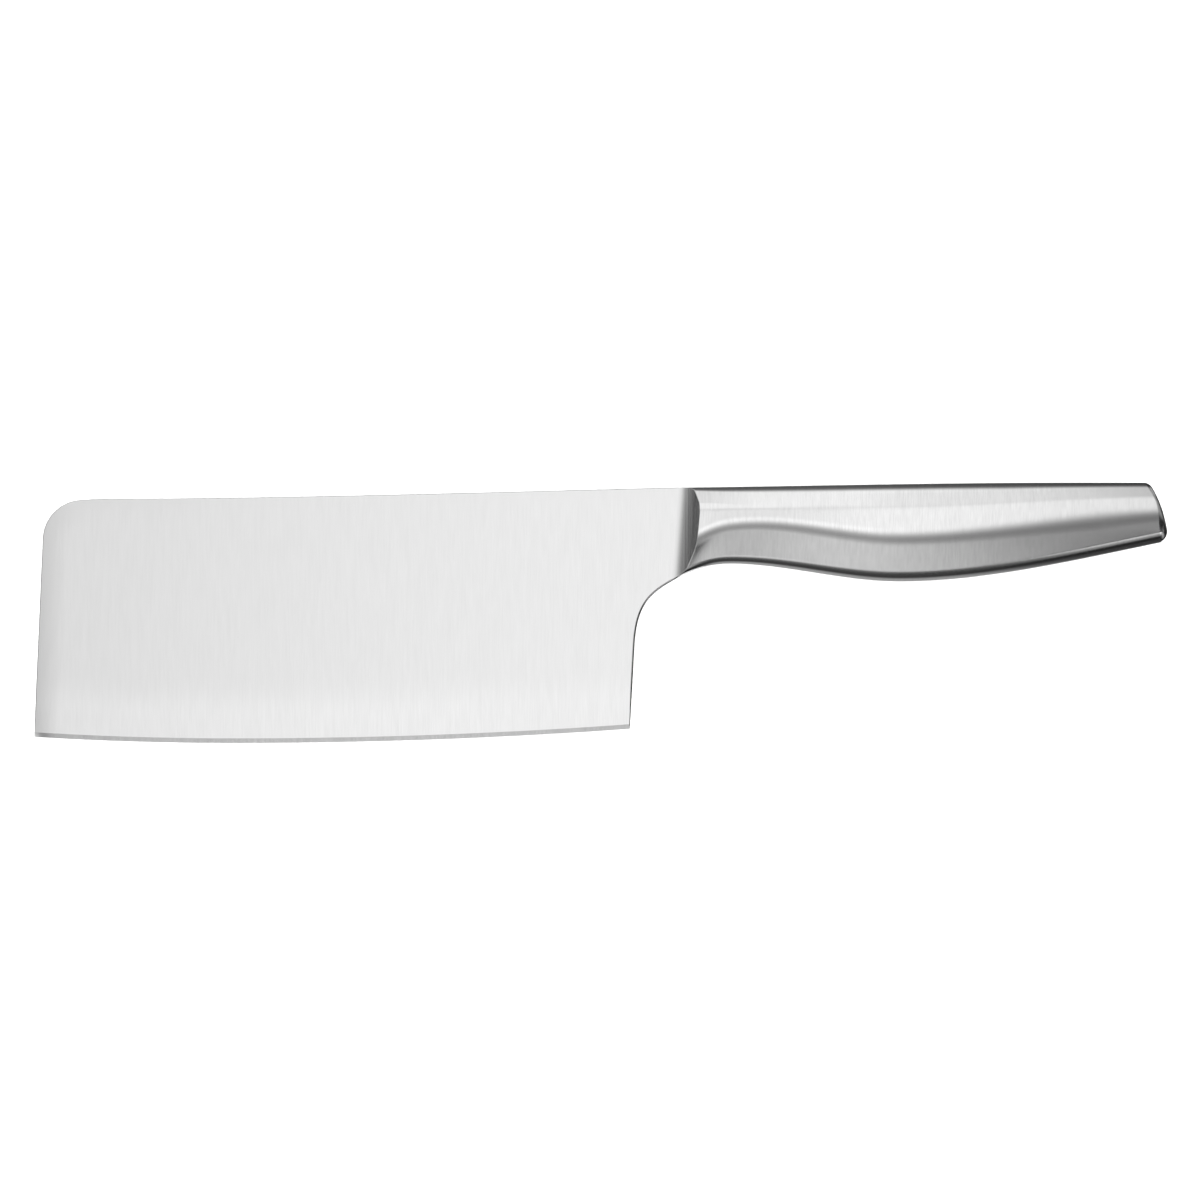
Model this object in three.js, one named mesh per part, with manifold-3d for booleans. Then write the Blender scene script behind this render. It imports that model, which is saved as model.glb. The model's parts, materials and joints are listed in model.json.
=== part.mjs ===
// A kitchen cleaver with a hollow, welded steel handle, in millimetres, lying on its right side.
// It is drawn with X from the front of the blade to the butt, Y from the cutting edge to the spine and Z
// through the thickness. X starts at the toe, and Y at the top of the handle where the cove begins. The
// finished knife is then set down on its right side, with +Z up.
import * as THREE from "three";
import { mergeVertices } from "three/addons/utils/BufferGeometryUtils.js";
import Module from "manifold-3d";

// Blade, seen from the side
const bladeLength = 164; // toe to heel
const neckLength = 13.5; // heel to the start of the cove
const toeDepth = 68.8; // all depths are below the top of the handle at the cove
const edgeBellyDepth = 70.4;
const edgeBellyFromToe = 54;
const heelDepth = 66.4;
const spineDrop = 3.1; // fall of the spine from the handle to the front
const spineSlope = 0.024; // of the spine where it meets the handle
const frontLean = 2.3; // degrees
const frontRadius = 11; // upper front corner
const heelLean = 3.2; // degrees
const heelHeight = 23; // straight part of the heel
const heelPull = 12; // how far the heel's line carries on into the choil's curve
const neckPull = 7.5; // and how far the underside's line does

// Blade, through its thickness
const spineThickness = 2.2;
const grindThickness = 2; // where the flat face ends and the lower grind begins
const bevelThickness = 0.5; // at the top of the cutting bevel
const edgeThickness = 0.12;
const grindHeight = 10; // above the heel
const bevelHeight = 1.3;

// Tang
const shoulderDepth = 7; // the neck's full height reaches this far into the bolster
const tangLength = 42;
const tangHeight = 12;

// Handle, seen from the side
const handleLength = 135.6; // start of the cove to the back of the butt's arc
const topRise = 1.3;
const topSlope = 0.012; // of the top at the cove
const crestFromCove = 104; // where the top is highest
const coveDepth = 24.6; // underside at the cove
const undersideSlope = 0.55; // and its slope there
const throatFromCove = 13.8; // narrowest place, behind the cove
const throatDepth = 20.9;
const bellyFromCove = 60.5; // deepest place
const bellyDepth = 25.8;
const buttDepth = 14.55;
const buttSlope = 0.2;
const buttRadius = 48; // the butt's arc, seen from the side
const buttSquareDepth = 22.5; // where that arc would stand upright
const buttTopRadius = 1.2;
const buttBottomRadius = 3.3;

// Handle, cross-section
const coveWidth = 9.6; // between the cheeks
const bellyWidth = 14.8;
const buttWidth = 13;
const coveCrown = 5.2; // across the top, before its edges are rounded
const bellyCrown = 12.4;
const buttCrown = 11;
const coveKeel = 2.4; // across the underside, before its edges are rounded
const bellyKeel = 6.6;
const buttKeel = 6;
const cheekLean = 1.2; // degrees, in towards the belly
const shoulderDrop = 5.5; // top down to the flat of the cheek
const coveRidge = 6.5; // underside up to the flat of the cheek
const ridgeHeight = 9.9; // the same from the throat on
const coveCrownRadius = 1.7; // at the cove
const crownRadius = 3.4; // and from the belly on
const shoulderRadius = 9;
const ridgeRadius = 6;
const keelRadius = 4.5;

// Handle, construction
const coveRadius = 5;
const coveLean = 4.4; // degrees
const coveLip = 2.2; // the cove's thin front edge stops this far behind its start
const bolsterLength = 16;
const spigotLength = 7; // of the bolster and of the cap into the shells
const wall = 1.2;
const capThickness = 3;
const weldWidth = 1.6; // room for the bead between two pieces
const tangBead = 2.2; // width and depth of the bead round the tang
const fit = 0.2; // clearance between pieces

// Fineness of the curved surfaces, and how far cutting bodies reach past the metal
const stationCount = 25;
const arcSteps = [4, 2, 3, 4];
const cutReach = 60;

const wasm = await Module();
wasm.setup();

const coveX = bladeLength + neckLength;
const shoulderX = coveX + shoulderDepth;
const jointX = coveX + bolsterLength;
const shellX = jointX + weldWidth;
const spigotEndX = shellX + spigotLength;
const tangEndX = shoulderX + tangLength;
const buttX = coveX + handleLength;
const tangTop = -(throatDepth - tangHeight) / 2;
const tangBottom = tangTop - tangHeight;
const slotWidth = spineThickness + 2 * fit;
const grindDepth = heelDepth - grindHeight;
const buttCentre = new THREE.Vector2(buttX - buttRadius, -buttSquareDepth);
const { degToRad, lerp } = THREE.MathUtils;

// A smooth line through stations of [place, value, slope], straight beyond its ends.
function profile(...stations) {
  return (place) => {
    const next = stations.findIndex(([x]) => x > place);
    const end = stations.at(next === 0 ? 0 : -1);
    if (next < 1) return end[1] + end[2] * (place - end[0]);
    const [x0, y0, slope0] = stations[next - 1];
    const [x1, y1, slope1] = stations[next];
    const pull = (x1 - x0) / 3;
    const curve = new THREE.CubicBezierCurve(
      new THREE.Vector2(x0, y0),
      new THREE.Vector2(x0 + pull, y0 + slope0 * pull),
      new THREE.Vector2(x1 - pull, y1 - slope1 * pull),
      new THREE.Vector2(x1, y1),
    );
    return curve.getPoint((place - x0) / (x1 - x0)).y;
  };
}

const throatX = coveX + throatFromCove;
const bellyX = coveX + bellyFromCove;
const widening = (bellyWidth - coveWidth) / 2 / bellyFromCove;
const cuttingEdge = profile(
  [0, -toeDepth, (-2 * (edgeBellyDepth - toeDepth)) / edgeBellyFromToe],
  [edgeBellyFromToe, -edgeBellyDepth, 0],
  [bladeLength, -heelDepth, (2 * (edgeBellyDepth - heelDepth)) / (bladeLength - edgeBellyFromToe)],
);
const top = profile([coveX, 0, topSlope], [coveX + crestFromCove, topRise, 0]);
const underside = profile(
  [coveX, -coveDepth, undersideSlope],
  [throatX, -throatDepth, 0],
  [bellyX, -bellyDepth, 0],
  [buttX, -buttDepth, buttSlope],
);
const cheek = profile([coveX, coveWidth / 2, widening], [bellyX, bellyWidth / 2, 0], [buttX, buttWidth / 2, 0]);
const crown = profile([coveX, coveCrown / 2, widening], [bellyX, bellyCrown / 2, 0], [buttX, buttCrown / 2, 0]);
const keel = profile([coveX, coveKeel / 2, widening], [bellyX, bellyKeel / 2, 0], [buttX, buttKeel / 2, 0]);
const crownRound = profile([coveX, coveCrownRadius, 0], [bellyX, crownRadius, 0]);
const ridge = profile([coveX, coveRidge, 0], [throatX, ridgeHeight, 0], [buttX, ridgeHeight, 0]);

// Half the thickness of the blade's flat face at a height.
function faceHalf(height) {
  return (spineThickness + ((spineThickness - grindThickness) * height) / grindDepth) / 2;
}

// Where the blade's front lies at a height.
function frontAt(height) {
  return (height + toeDepth) * Math.tan(degToRad(frontLean));
}

// A three.js geometry as a solid that can be cut and joined.
function solid(geometry) {
  geometry.deleteAttribute("normal");
  geometry.deleteAttribute("uv");
  const merged = mergeVertices(geometry, 1e-4);
  const vertProperties = merged.getAttribute("position").array;
  const triVerts = new Uint32Array(merged.index.array);
  return new wasm.Manifold(new wasm.Mesh({ numProp: 3, vertProperties, triVerts }));
}

// A closed body through rings of points that all turn the same way.
function loft(rings) {
  const count = rings[0].length;
  const last = (rings.length - 1) * count;
  const faces = [];
  for (let ring = 0; ring < last; ring += count) {
    for (let k = 0; k < count; k += 1) {
      const here = ring + k;
      const beside = ring + ((k + 1) % count);
      faces.push(here, beside, beside + count, here, beside + count, here + count);
    }
  }
  for (let k = 1; k + 1 < count; k += 1) {
    faces.push(0, k + 1, k, last, last + k, last + k + 1);
  }
  const geometry = new THREE.BufferGeometry().setFromPoints(rings.flat());
  return solid(geometry.setIndex(faces));
}

// A ring at X from the [half width, height] points of its left half, listed from the top down.
function ring(x, half) {
  const left = half.map(([width, height]) => new THREE.Vector3(x, height, width));
  const right = half.map(([width, height]) => new THREE.Vector3(x, height, -width));
  return [...left, ...right.reverse()];
}

// A block between two places along X, wide and tall enough to cut anything unless told otherwise.
function block(x0, x1, bottom = -2 * cutReach, roof = cutReach, thickness = cutReach) {
  const geometry = new THREE.BoxGeometry(x1 - x0, roof - bottom, thickness);
  return solid(geometry.translate((x0 + x1) / 2, (roof + bottom) / 2, 0));
}

// An outline in the side view, made solid through the whole thickness.
function plate(outline) {
  const geometry = new THREE.ExtrudeGeometry(outline, { depth: cutReach, bevelEnabled: false });
  return solid(geometry.translate(0, 0, -cutReach / 2));
}

// The handle's cross-section at X, set in from its surface: four rounded corners on each side.
function handleRing(x, inset) {
  const cheekTop = top(x) - shoulderDrop;
  const cheekBottom = underside(x) + ridge(x);
  const lean = (Math.tan(degToRad(cheekLean)) * (cheekTop - cheekBottom)) / 2;
  const corners = [
    [crown(x), top(x), crownRound(x)],
    [cheek(x) + lean, cheekTop, shoulderRadius],
    [cheek(x) - lean, cheekBottom, ridgeRadius],
    [keel(x), underside(x), keelRadius],
  ];
  const stops = [[-crown(x), top(x)], ...corners, [-keel(x), underside(x)]];
  const sides = stops.slice(1).map(([width, height], n) => {
    const across = width - stops[n][0];
    const down = stops[n][1] - height;
    return { length: Math.hypot(across, down), angle: Math.atan2(across, down) };
  });
  const half = corners.flatMap(([width, height, radius], n) => {
    const turn = (sides[n].angle - sides[n + 1].angle) / 2;
    const room = 0.45 * Math.min(sides[n].length, sides[n + 1].length);
    const round = Math.max(Math.min(radius, room / Math.tan(turn)) - inset, fit);
    const middle = (sides[n].angle + sides[n + 1].angle) / 2;
    const reach = (inset + round) / Math.cos(turn);
    return Array.from({ length: arcSteps[n] + 1 }, (_, step) => {
      const angle = lerp(sides[n].angle, sides[n + 1].angle, step / arcSteps[n]);
      const out = width - reach * Math.cos(middle) + round * Math.cos(angle);
      return [Math.max(out, fit), height - reach * Math.sin(middle) + round * Math.sin(angle)];
    });
  });
  return ring(x, half);
}

// Rings of the handle's surface, or of one set in from it, from X to behind the butt.
function handleRings(x, inset = 0) {
  const stations = Array.from({ length: stationCount }, (_, n) => lerp(x, buttX + wall, n / (stationCount - 1)));
  return stations.map((station) => handleRing(station, inset));
}

// Centre of a corner's round inside the butt's arc and a straight side, on which the round sits.
function buttCorner(radius, height, slope) {
  const rise = height + slope * (buttCentre.x - buttX) - buttCentre.y;
  const free = (1 + slope ** 2) * (buttRadius - radius) ** 2 - rise ** 2;
  const along = (Math.sqrt(free) - slope * rise) / (1 + slope ** 2);
  return new THREE.Vector2(buttCentre.x + along, buttCentre.y + rise + slope * along);
}

// Side view of the butt: rounded at both corners, and open to all of the handle in front of it.
const lineToArc = Math.hypot(1, buttSlope);
const upperCorner = buttCorner(buttTopRadius, topRise - buttTopRadius, 0);
const lowerCorner = buttCorner(buttBottomRadius, buttBottomRadius * lineToArc - buttDepth, buttSlope);
const upperAngle = upperCorner.clone().sub(buttCentre).angle();
const lowerAngle = lowerCorner.clone().sub(buttCentre).angle();
const buttAngle = (upperAngle + lowerAngle) / 2;

function buttOutline() {
  const undersideAngle = Math.atan(buttSlope) - Math.PI / 2;
  const outline = new THREE.Shape();
  outline.moveTo(coveX - cutReach, cutReach);
  outline.lineTo(upperCorner.x, cutReach);
  outline.absarc(upperCorner.x, upperCorner.y, buttTopRadius, Math.PI / 2, upperAngle, true);
  outline.absarc(buttCentre.x, buttCentre.y, buttRadius, upperAngle, lowerAngle, true);
  outline.absarc(lowerCorner.x, lowerCorner.y, buttBottomRadius, lowerAngle, undersideAngle, true);
  outline.lineTo(lowerCorner.x, -2 * cutReach);
  outline.lineTo(coveX - cutReach, -2 * cutReach);
  return outline;
}

// A slab across the handle that lies between two depths in front of the butt's slanting face.
function buttSlab(front, back) {
  const geometry = new THREE.BoxGeometry(front - back, 2 * cutReach, cutReach);
  geometry.translate(buttRadius - (front + back) / 2, 0, 0);
  geometry.rotateZ(buttAngle);
  return solid(geometry.translate(buttCentre.x, buttCentre.y, 0));
}

const handleBody = loft(handleRings(coveX)).intersect(plate(buttOutline()));
const core = loft(handleRings(jointX - fit, wall));
const spigotBody = loft(handleRings(jointX - fit, wall + fit));
const skin = handleBody.subtract(core);
const betweenWelds = block(shellX, buttX).intersect(buttSlab(2 * handleLength, capThickness + weldWidth));

// Side view of the blade with its neck and tang. The cutting edge itself comes from the taper.
function bladeOutline() {
  const lean = degToRad(frontLean);
  const below = -edgeBellyDepth - bevelHeight;
  const roundY = -spineDrop - frontRadius;
  const roundX = frontAt(roundY) + frontRadius / Math.cos(lean);
  const pull = (coveX - roundX) / 3;
  const heelSlant = Math.tan(degToRad(heelLean));
  const choilX = bladeLength + heelHeight * heelSlant;
  const choilY = heelHeight - heelDepth;
  const outline = new THREE.Shape();
  outline.moveTo(frontAt(below), below);
  outline.lineTo(roundX - frontRadius * Math.cos(lean), roundY + frontRadius * Math.sin(lean));
  outline.absarc(roundX, roundY, frontRadius, Math.PI - lean, Math.PI / 2, true);
  outline.bezierCurveTo(roundX + pull, -spineDrop, coveX - pull, -pull * spineSlope, coveX, 0);
  outline.lineTo(shoulderX, top(shoulderX));
  outline.lineTo(shoulderX, tangTop);
  outline.lineTo(tangEndX, tangTop);
  outline.lineTo(tangEndX, tangBottom);
  outline.lineTo(shoulderX, tangBottom);
  for (let step = 0; step <= arcSteps[0]; step += 1) {
    const x = lerp(shoulderX, coveX, step / arcSteps[0]);
    outline.lineTo(x, underside(x));
  }
  outline.bezierCurveTo(
    coveX - neckPull,
    -coveDepth - neckPull * undersideSlope,
    choilX + heelPull * heelSlant,
    choilY + heelPull,
    choilX,
    choilY,
  );
  outline.lineTo(bladeLength + (below + heelDepth) * heelSlant, below);
  return outline;
}

// The blade's taper at X: flat face, lower grind, cutting bevel and a narrow land at the edge.
function bladeRing(x) {
  const edge = cuttingEdge(x);
  const roof = topRise + fit;
  return ring(x, [
    [faceHalf(roof), roof],
    [grindThickness / 2, -grindDepth],
    [bevelThickness / 2, edge + bevelHeight],
    [edgeThickness / 2, edge],
  ]);
}

function blade() {
  const places = Array.from({ length: stationCount }, (_, n) => (bladeLength * n) / (stationCount - 1));
  const taper = loft([-neckLength, ...places, tangEndX + fit].map(bladeRing));
  return taper.intersect(plate(bladeOutline()));
}

// One side's cove: a cylinder that touches the blade's face along a leaning line, and the thin lip before it.
function coveCut(side) {
  const tool = new THREE.CylinderGeometry(coveRadius, coveRadius, cutReach, 48);
  tool.translate(0, 0, side * (spineThickness / 2 + coveRadius));
  const lip = new THREE.BoxGeometry(2 * coveLip, cutReach, cutReach);
  lip.translate(0, 0, (side * cutReach) / 2);
  const place = (geometry) => {
    geometry.rotateZ(-degToRad(coveLean));
    return solid(geometry.translate(coveX, -coveDepth / 2, 0));
  };
  return place(tool).add(place(lip));
}

// The solid front of the handle, slotted for the neck and the tang, with a spigot for the shells.
function bolster() {
  const front = handleBody.intersect(block(coveX, jointX));
  const spigot = spigotBody.intersect(block(jointX - fit, spigotEndX));
  const neckSlot = block(coveX - cutReach, shoulderX + fit, -cutReach, cutReach, slotWidth);
  const tangSlot = block(coveX, tangEndX, tangBottom - fit, tangTop + fit, slotWidth);
  return front.add(spigot).subtract(neckSlot.add(tangSlot)).subtract(coveCut(1)).subtract(coveCut(-1));
}

// One half of the hollow handle, on the left for 1 and on the right for -1.
function handleShell(side) {
  const half = new THREE.BoxGeometry(2 * handleLength, 2 * cutReach, cutReach);
  half.translate(coveX + handleLength / 2, 0, (side * (cutReach + weldWidth)) / 2);
  return skin.intersect(betweenWelds).intersect(solid(half));
}

// The end of the handle with its spigot.
function buttCap() {
  const end = handleBody.intersect(buttSlab(capThickness, -cutReach));
  const spigot = spigotBody.intersect(buttSlab(capThickness + weldWidth + spigotLength, capThickness - fit));
  return end.add(spigot);
}

// A bead along one of the seams between the shells, above or below the middle of the handle.
function seamWeld(above) {
  const middle = (tangTop + tangBottom) / 2;
  const reach = above ? [middle, cutReach] : [-cutReach, middle];
  const seam = block(shellX, buttX, ...reach, weldWidth - 2 * fit);
  return skin.intersect(betweenWelds).intersect(seam);
}

function bolsterWeld() {
  return skin.intersect(block(jointX + fit, shellX - fit));
}

function capWeld() {
  return skin.intersect(buttSlab(capThickness + weldWidth - fit, capThickness + fit));
}

// A bead round the tang, behind the bolster's spigot.
function tangWeld() {
  const start = spigotEndX + fit;
  const half = slotWidth / 2 + tangBead;
  const bead = block(start, start + tangBead, tangBottom - fit - tangBead, tangTop + fit + tangBead, 2 * half);
  const hole = block(coveX, tangEndX + cutReach, tangBottom - fit, tangTop + fit, slotWidth);
  return bead.intersect(spigotBody).subtract(hole);
}

const satin = { color: 0xd9dbdc, roughness: 0.32, metalness: 1 };
const brushed = { color: 0xc9cccd, roughness: 0.28, metalness: 1 };
const bead = { color: 0xb9bcbe, roughness: 0.45, metalness: 1 };

function mesh(name, body, look) {
  const { vertProperties, triVerts } = body.getMesh();
  const geometry = new THREE.BufferGeometry();
  geometry.setAttribute("position", new THREE.BufferAttribute(vertProperties, 3));
  geometry.setIndex(new THREE.BufferAttribute(triVerts, 1));
  geometry.computeVertexNormals();
  const made = new THREE.Mesh(geometry, new THREE.MeshStandardMaterial(look));
  made.name = name;
  return made;
}

const handle = new THREE.Group();
handle.add(
  mesh("bolster", bolster(), brushed),
  mesh("handle_shell_left", handleShell(1), brushed),
  mesh("handle_shell_right", handleShell(-1), brushed),
  mesh("butt_cap", buttCap(), brushed),
  mesh("spine_weld", seamWeld(true), bead),
  mesh("belly_weld", seamWeld(false), bead),
  mesh("bolster_weld", bolsterWeld(), bead),
  mesh("cap_weld", capWeld(), bead),
  mesh("tang_weld", tangWeld(), bead),
);

const knife = new THREE.Group();
knife.add(mesh("blade", blade(), satin), handle);

// The knife rests on the front end of the right face's lower edge and on the flat of the right cheek, which
// is the stretch after the second corner of a section and so, on the right, before the second from its end.
function restingPlane() {
  const toe = new THREE.Vector3(frontAt(-grindDepth), -grindDepth, -faceHalf(-grindDepth));
  const cheekEnd = arcSteps[0] + arcSteps[1] + 2;
  const planes = handleRings(coveX).map((points) => {
    const [ridgeSide, shoulderSide] = points.slice(-cheekEnd - 1);
    return new THREE.Plane().setFromCoplanarPoints(shoulderSide, toe, ridgeSide);
  });
  return planes.reduce((steepest, plane) => (plane.normal.x > steepest.normal.x ? plane : steepest));
}

knife.quaternion.setFromUnitVectors(restingPlane().normal, new THREE.Vector3(0, 0, 1));

const cleaver = new THREE.Group();
cleaver.add(knife);
cleaver.updateMatrixWorld(true);
const box = new THREE.Box3().setFromObject(cleaver, true);
const centre = box.getCenter(new THREE.Vector3());
knife.position.set(-centre.x, -centre.y, -box.min.z);

export default cleaver;
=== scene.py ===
"""Kitchen cleaver: a broad satin blade in a hollow brushed steel handle, dressed over its frame.

Shapes are drawn in millimetres in the knife's own axes: X from the toe to the butt, Y from the cutting
edge to the spine, with zero at the top of the handle where the cove begins, and Z out of the left side.
The rest pose then lays every piece on its right side in the frame.
"""

import json
import logging
import math
from collections.abc import Callable, Sequence
from dataclasses import dataclass, replace
from enum import Enum
from functools import cached_property
from typing import NamedTuple

import bpy
import numpy as np
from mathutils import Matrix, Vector
from mathutils.geometry import delaunay_2d_cdt


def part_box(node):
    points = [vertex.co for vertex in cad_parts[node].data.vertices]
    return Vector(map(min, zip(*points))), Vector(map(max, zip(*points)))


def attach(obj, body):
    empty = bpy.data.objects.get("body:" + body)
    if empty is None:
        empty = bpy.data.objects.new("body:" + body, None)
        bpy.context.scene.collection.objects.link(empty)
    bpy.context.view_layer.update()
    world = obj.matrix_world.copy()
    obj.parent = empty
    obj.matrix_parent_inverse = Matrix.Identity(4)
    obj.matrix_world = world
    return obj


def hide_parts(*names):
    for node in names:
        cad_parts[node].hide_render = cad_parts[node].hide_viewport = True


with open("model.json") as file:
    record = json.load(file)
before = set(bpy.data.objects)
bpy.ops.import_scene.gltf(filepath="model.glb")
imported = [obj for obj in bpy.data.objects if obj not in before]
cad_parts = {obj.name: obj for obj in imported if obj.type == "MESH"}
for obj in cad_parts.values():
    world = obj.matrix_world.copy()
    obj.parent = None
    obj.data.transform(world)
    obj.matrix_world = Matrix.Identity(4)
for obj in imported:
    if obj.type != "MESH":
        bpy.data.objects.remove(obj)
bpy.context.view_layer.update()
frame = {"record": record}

Array = np.ndarray
Pairs = Sequence[tuple[float, float]]
Span = tuple[float, float, float]
Mesh = bpy.types.Mesh
Material = bpy.types.Material
Socket = bpy.types.NodeSocket

MM = 0.001
FIT = 0.2  # clearance between pieces, which the ground welds close
SEAM = 0.7  # half the width of the welds between the two shells
GRAIN_SCALE = 0.01  # grain map units to a millimetre
TOUCHING = 1e-7  # distance at which two points count as one
JOIN_DIGITS = 5  # decimals of a millimetre to which joined points agree
SETTLING_ROUNDS = 12  # after these a place on the handle lies on the surface that it seeks
HALVINGS = 48  # after these a place between two others is found
BEAD_SIDES = 12  # corners of a bead's section
MIRROR = np.array([1.0, 1.0, -1.0])  # from the left side of the knife to the right
DOWN = np.array([0.0, -1.0, 0.0])  # from the spine to the cutting edge
FORWARD = np.array([-1.0, 0.0, 0.0])  # from the butt to the toe
LEFT = np.array([0.0, 0.0, 1.0])
log = logging.getLogger("cleaver")


class Corner(Enum):
    """Rounded corners of one half of the handle's section, from the top down."""

    CROWN = 0
    SHOULDER = 1
    RIDGE = 2
    KEEL = 3


class Side(Enum):
    """Halves of the hollow handle."""

    LEFT = 1
    RIGHT = -1


class Slot(Enum):
    """Material slots of the record."""

    BLADE = "blade_steel"
    HANDLE = "handle_steel"
    WELD = "weld_steel"


class Row(NamedTuple):
    """A line along the handle: a share of a corner's turn, or a place across the top or the keel."""

    corner: Corner
    share: float = 0.0
    across: float | None = None  # half width that the line keeps, in place of a share of the turn
    part: float = 0.0  # how far it goes from there to the corner's round
    side: int = Side.LEFT.value


class Patch(NamedTuple):
    """Points of a surface with their outward normals."""

    points: Array
    normals: Array


class Rounding(NamedTuple):
    """Arc of a rounded corner: its first and last angle, radius and centre."""

    start: Array
    end: Array
    radius: Array
    across: Array
    height: Array


class Profile:
    """A smooth line through stations of place, value and slope, straight beyond its ends."""

    def __init__(self, *stations: tuple[float, float, float]) -> None:
        """Keep the stations as three arrays."""
        self.places, self.values, self.slopes = np.array(stations, dtype=float).T

    def __call__(self, place: Array | float) -> Array:
        """Value of the line.

        Args:
            place: Where along X the line is read.

        Returns:
            The line's value at each place.
        """
        place = np.asarray(place, dtype=float)
        span = np.clip(np.searchsorted(self.places, place) - 1, 0, len(self.places) - 2)
        width = self.places[span + 1] - self.places[span]
        way = (place - self.places[span]) / width
        t = np.clip(way, 0.0, 1.0)
        blend = t * t * (3 - 2 * t)
        value = self.values[span] + (self.values[span + 1] - self.values[span]) * blend
        value = value + width * self.slopes[span] * t * (1 - t) ** 2
        value = value - width * self.slopes[span + 1] * t * t * (1 - t)
        return value + (way - t) * width * np.where(way < 0, self.slopes[span], self.slopes[span + 1])


def flipped(patch: Patch) -> Patch:
    """A patch mirrored to the right side of the knife."""
    return Patch(patch.points * MIRROR, patch.normals * MIRROR)


def unit(vectors: Array) -> Array:
    """Vectors at length one."""
    return vectors / np.linalg.norm(vectors, axis=-1, keepdims=True)


def bezier(points: Pairs, steps: int) -> Array:
    """Points along a cubic curve.

    Args:
        points: Its four control points.
        steps: Number of stretches.

    Returns:
        Points from the first control point to the last.
    """
    t = np.linspace(0.0, 1.0, steps + 1)[:, None]
    a, b, c, d = np.array(points, dtype=float)
    return a * (1 - t) ** 3 + 3 * b * t * (1 - t) ** 2 + 3 * c * t * t * (1 - t) + d * t**3


def line(start: Sequence[float] | Array, end: Sequence[float] | Array, steps: int) -> Array:
    """Evenly spaced points on a straight line, both ends included."""
    return np.linspace(start, end, steps + 1)


def inside(points: Array, outline: Array) -> Array:
    """Which points lie inside a closed outline.

    Args:
        points: Places in the plane.
        outline: Corners of the outline in order.

    Returns:
        One truth value for each point.
    """
    found = np.zeros(len(points), dtype=bool)
    for (x0, y0), (x1, y1) in zip(outline, np.roll(outline, -1, axis=0)):
        if y0 != y1:
            crosses = (points[:, 1] < y0) != (points[:, 1] < y1)
            reach = x0 + (points[:, 1] - y0) * (x1 - x0) / (y1 - y0)
            found ^= crosses & (points[:, 0] < reach)
    return found


def clear(points: Array, outline: Array, gap: float) -> Array:
    """Which points lie inside an outline and keep a distance from its corners.

    Args:
        points: Places in the plane.
        outline: Corners of the outline in order.
        gap: The distance.

    Returns:
        One truth value for each point.
    """
    away = np.array([np.min(np.hypot(*(outline - point).T)) for point in points])
    return inside(points, outline) & (away > gap)


def lattice(columns: Array, rows: Array) -> Array:
    """Points where columns and rows cross."""
    first, second = np.meshgrid(columns, rows)
    return np.stack([first.ravel(), second.ravel()], axis=-1)


def filled(outline: Array, inner: Array) -> tuple[Array, Array]:
    """Triangles that fill an outline.

    Args:
        outline: Corners of the outline in order.
        inner: Points inside it that the triangles also use.

    Returns:
        The points and the triangles between them.
    """
    given = np.concatenate([outline, inner])
    count = len(outline)
    edges = [(n, (n + 1) % count) for n in range(count)]
    only_inside = 1
    corners = [Vector(point) for point in given]
    made, _, faces, sources, _, _ = delaunay_2d_cdt(corners, edges, [], only_inside, TOUCHING)
    points = [given[source[0]] if source else np.array(place) for place, source in zip(made, sources)]
    return np.array(points), np.array(faces)


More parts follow.
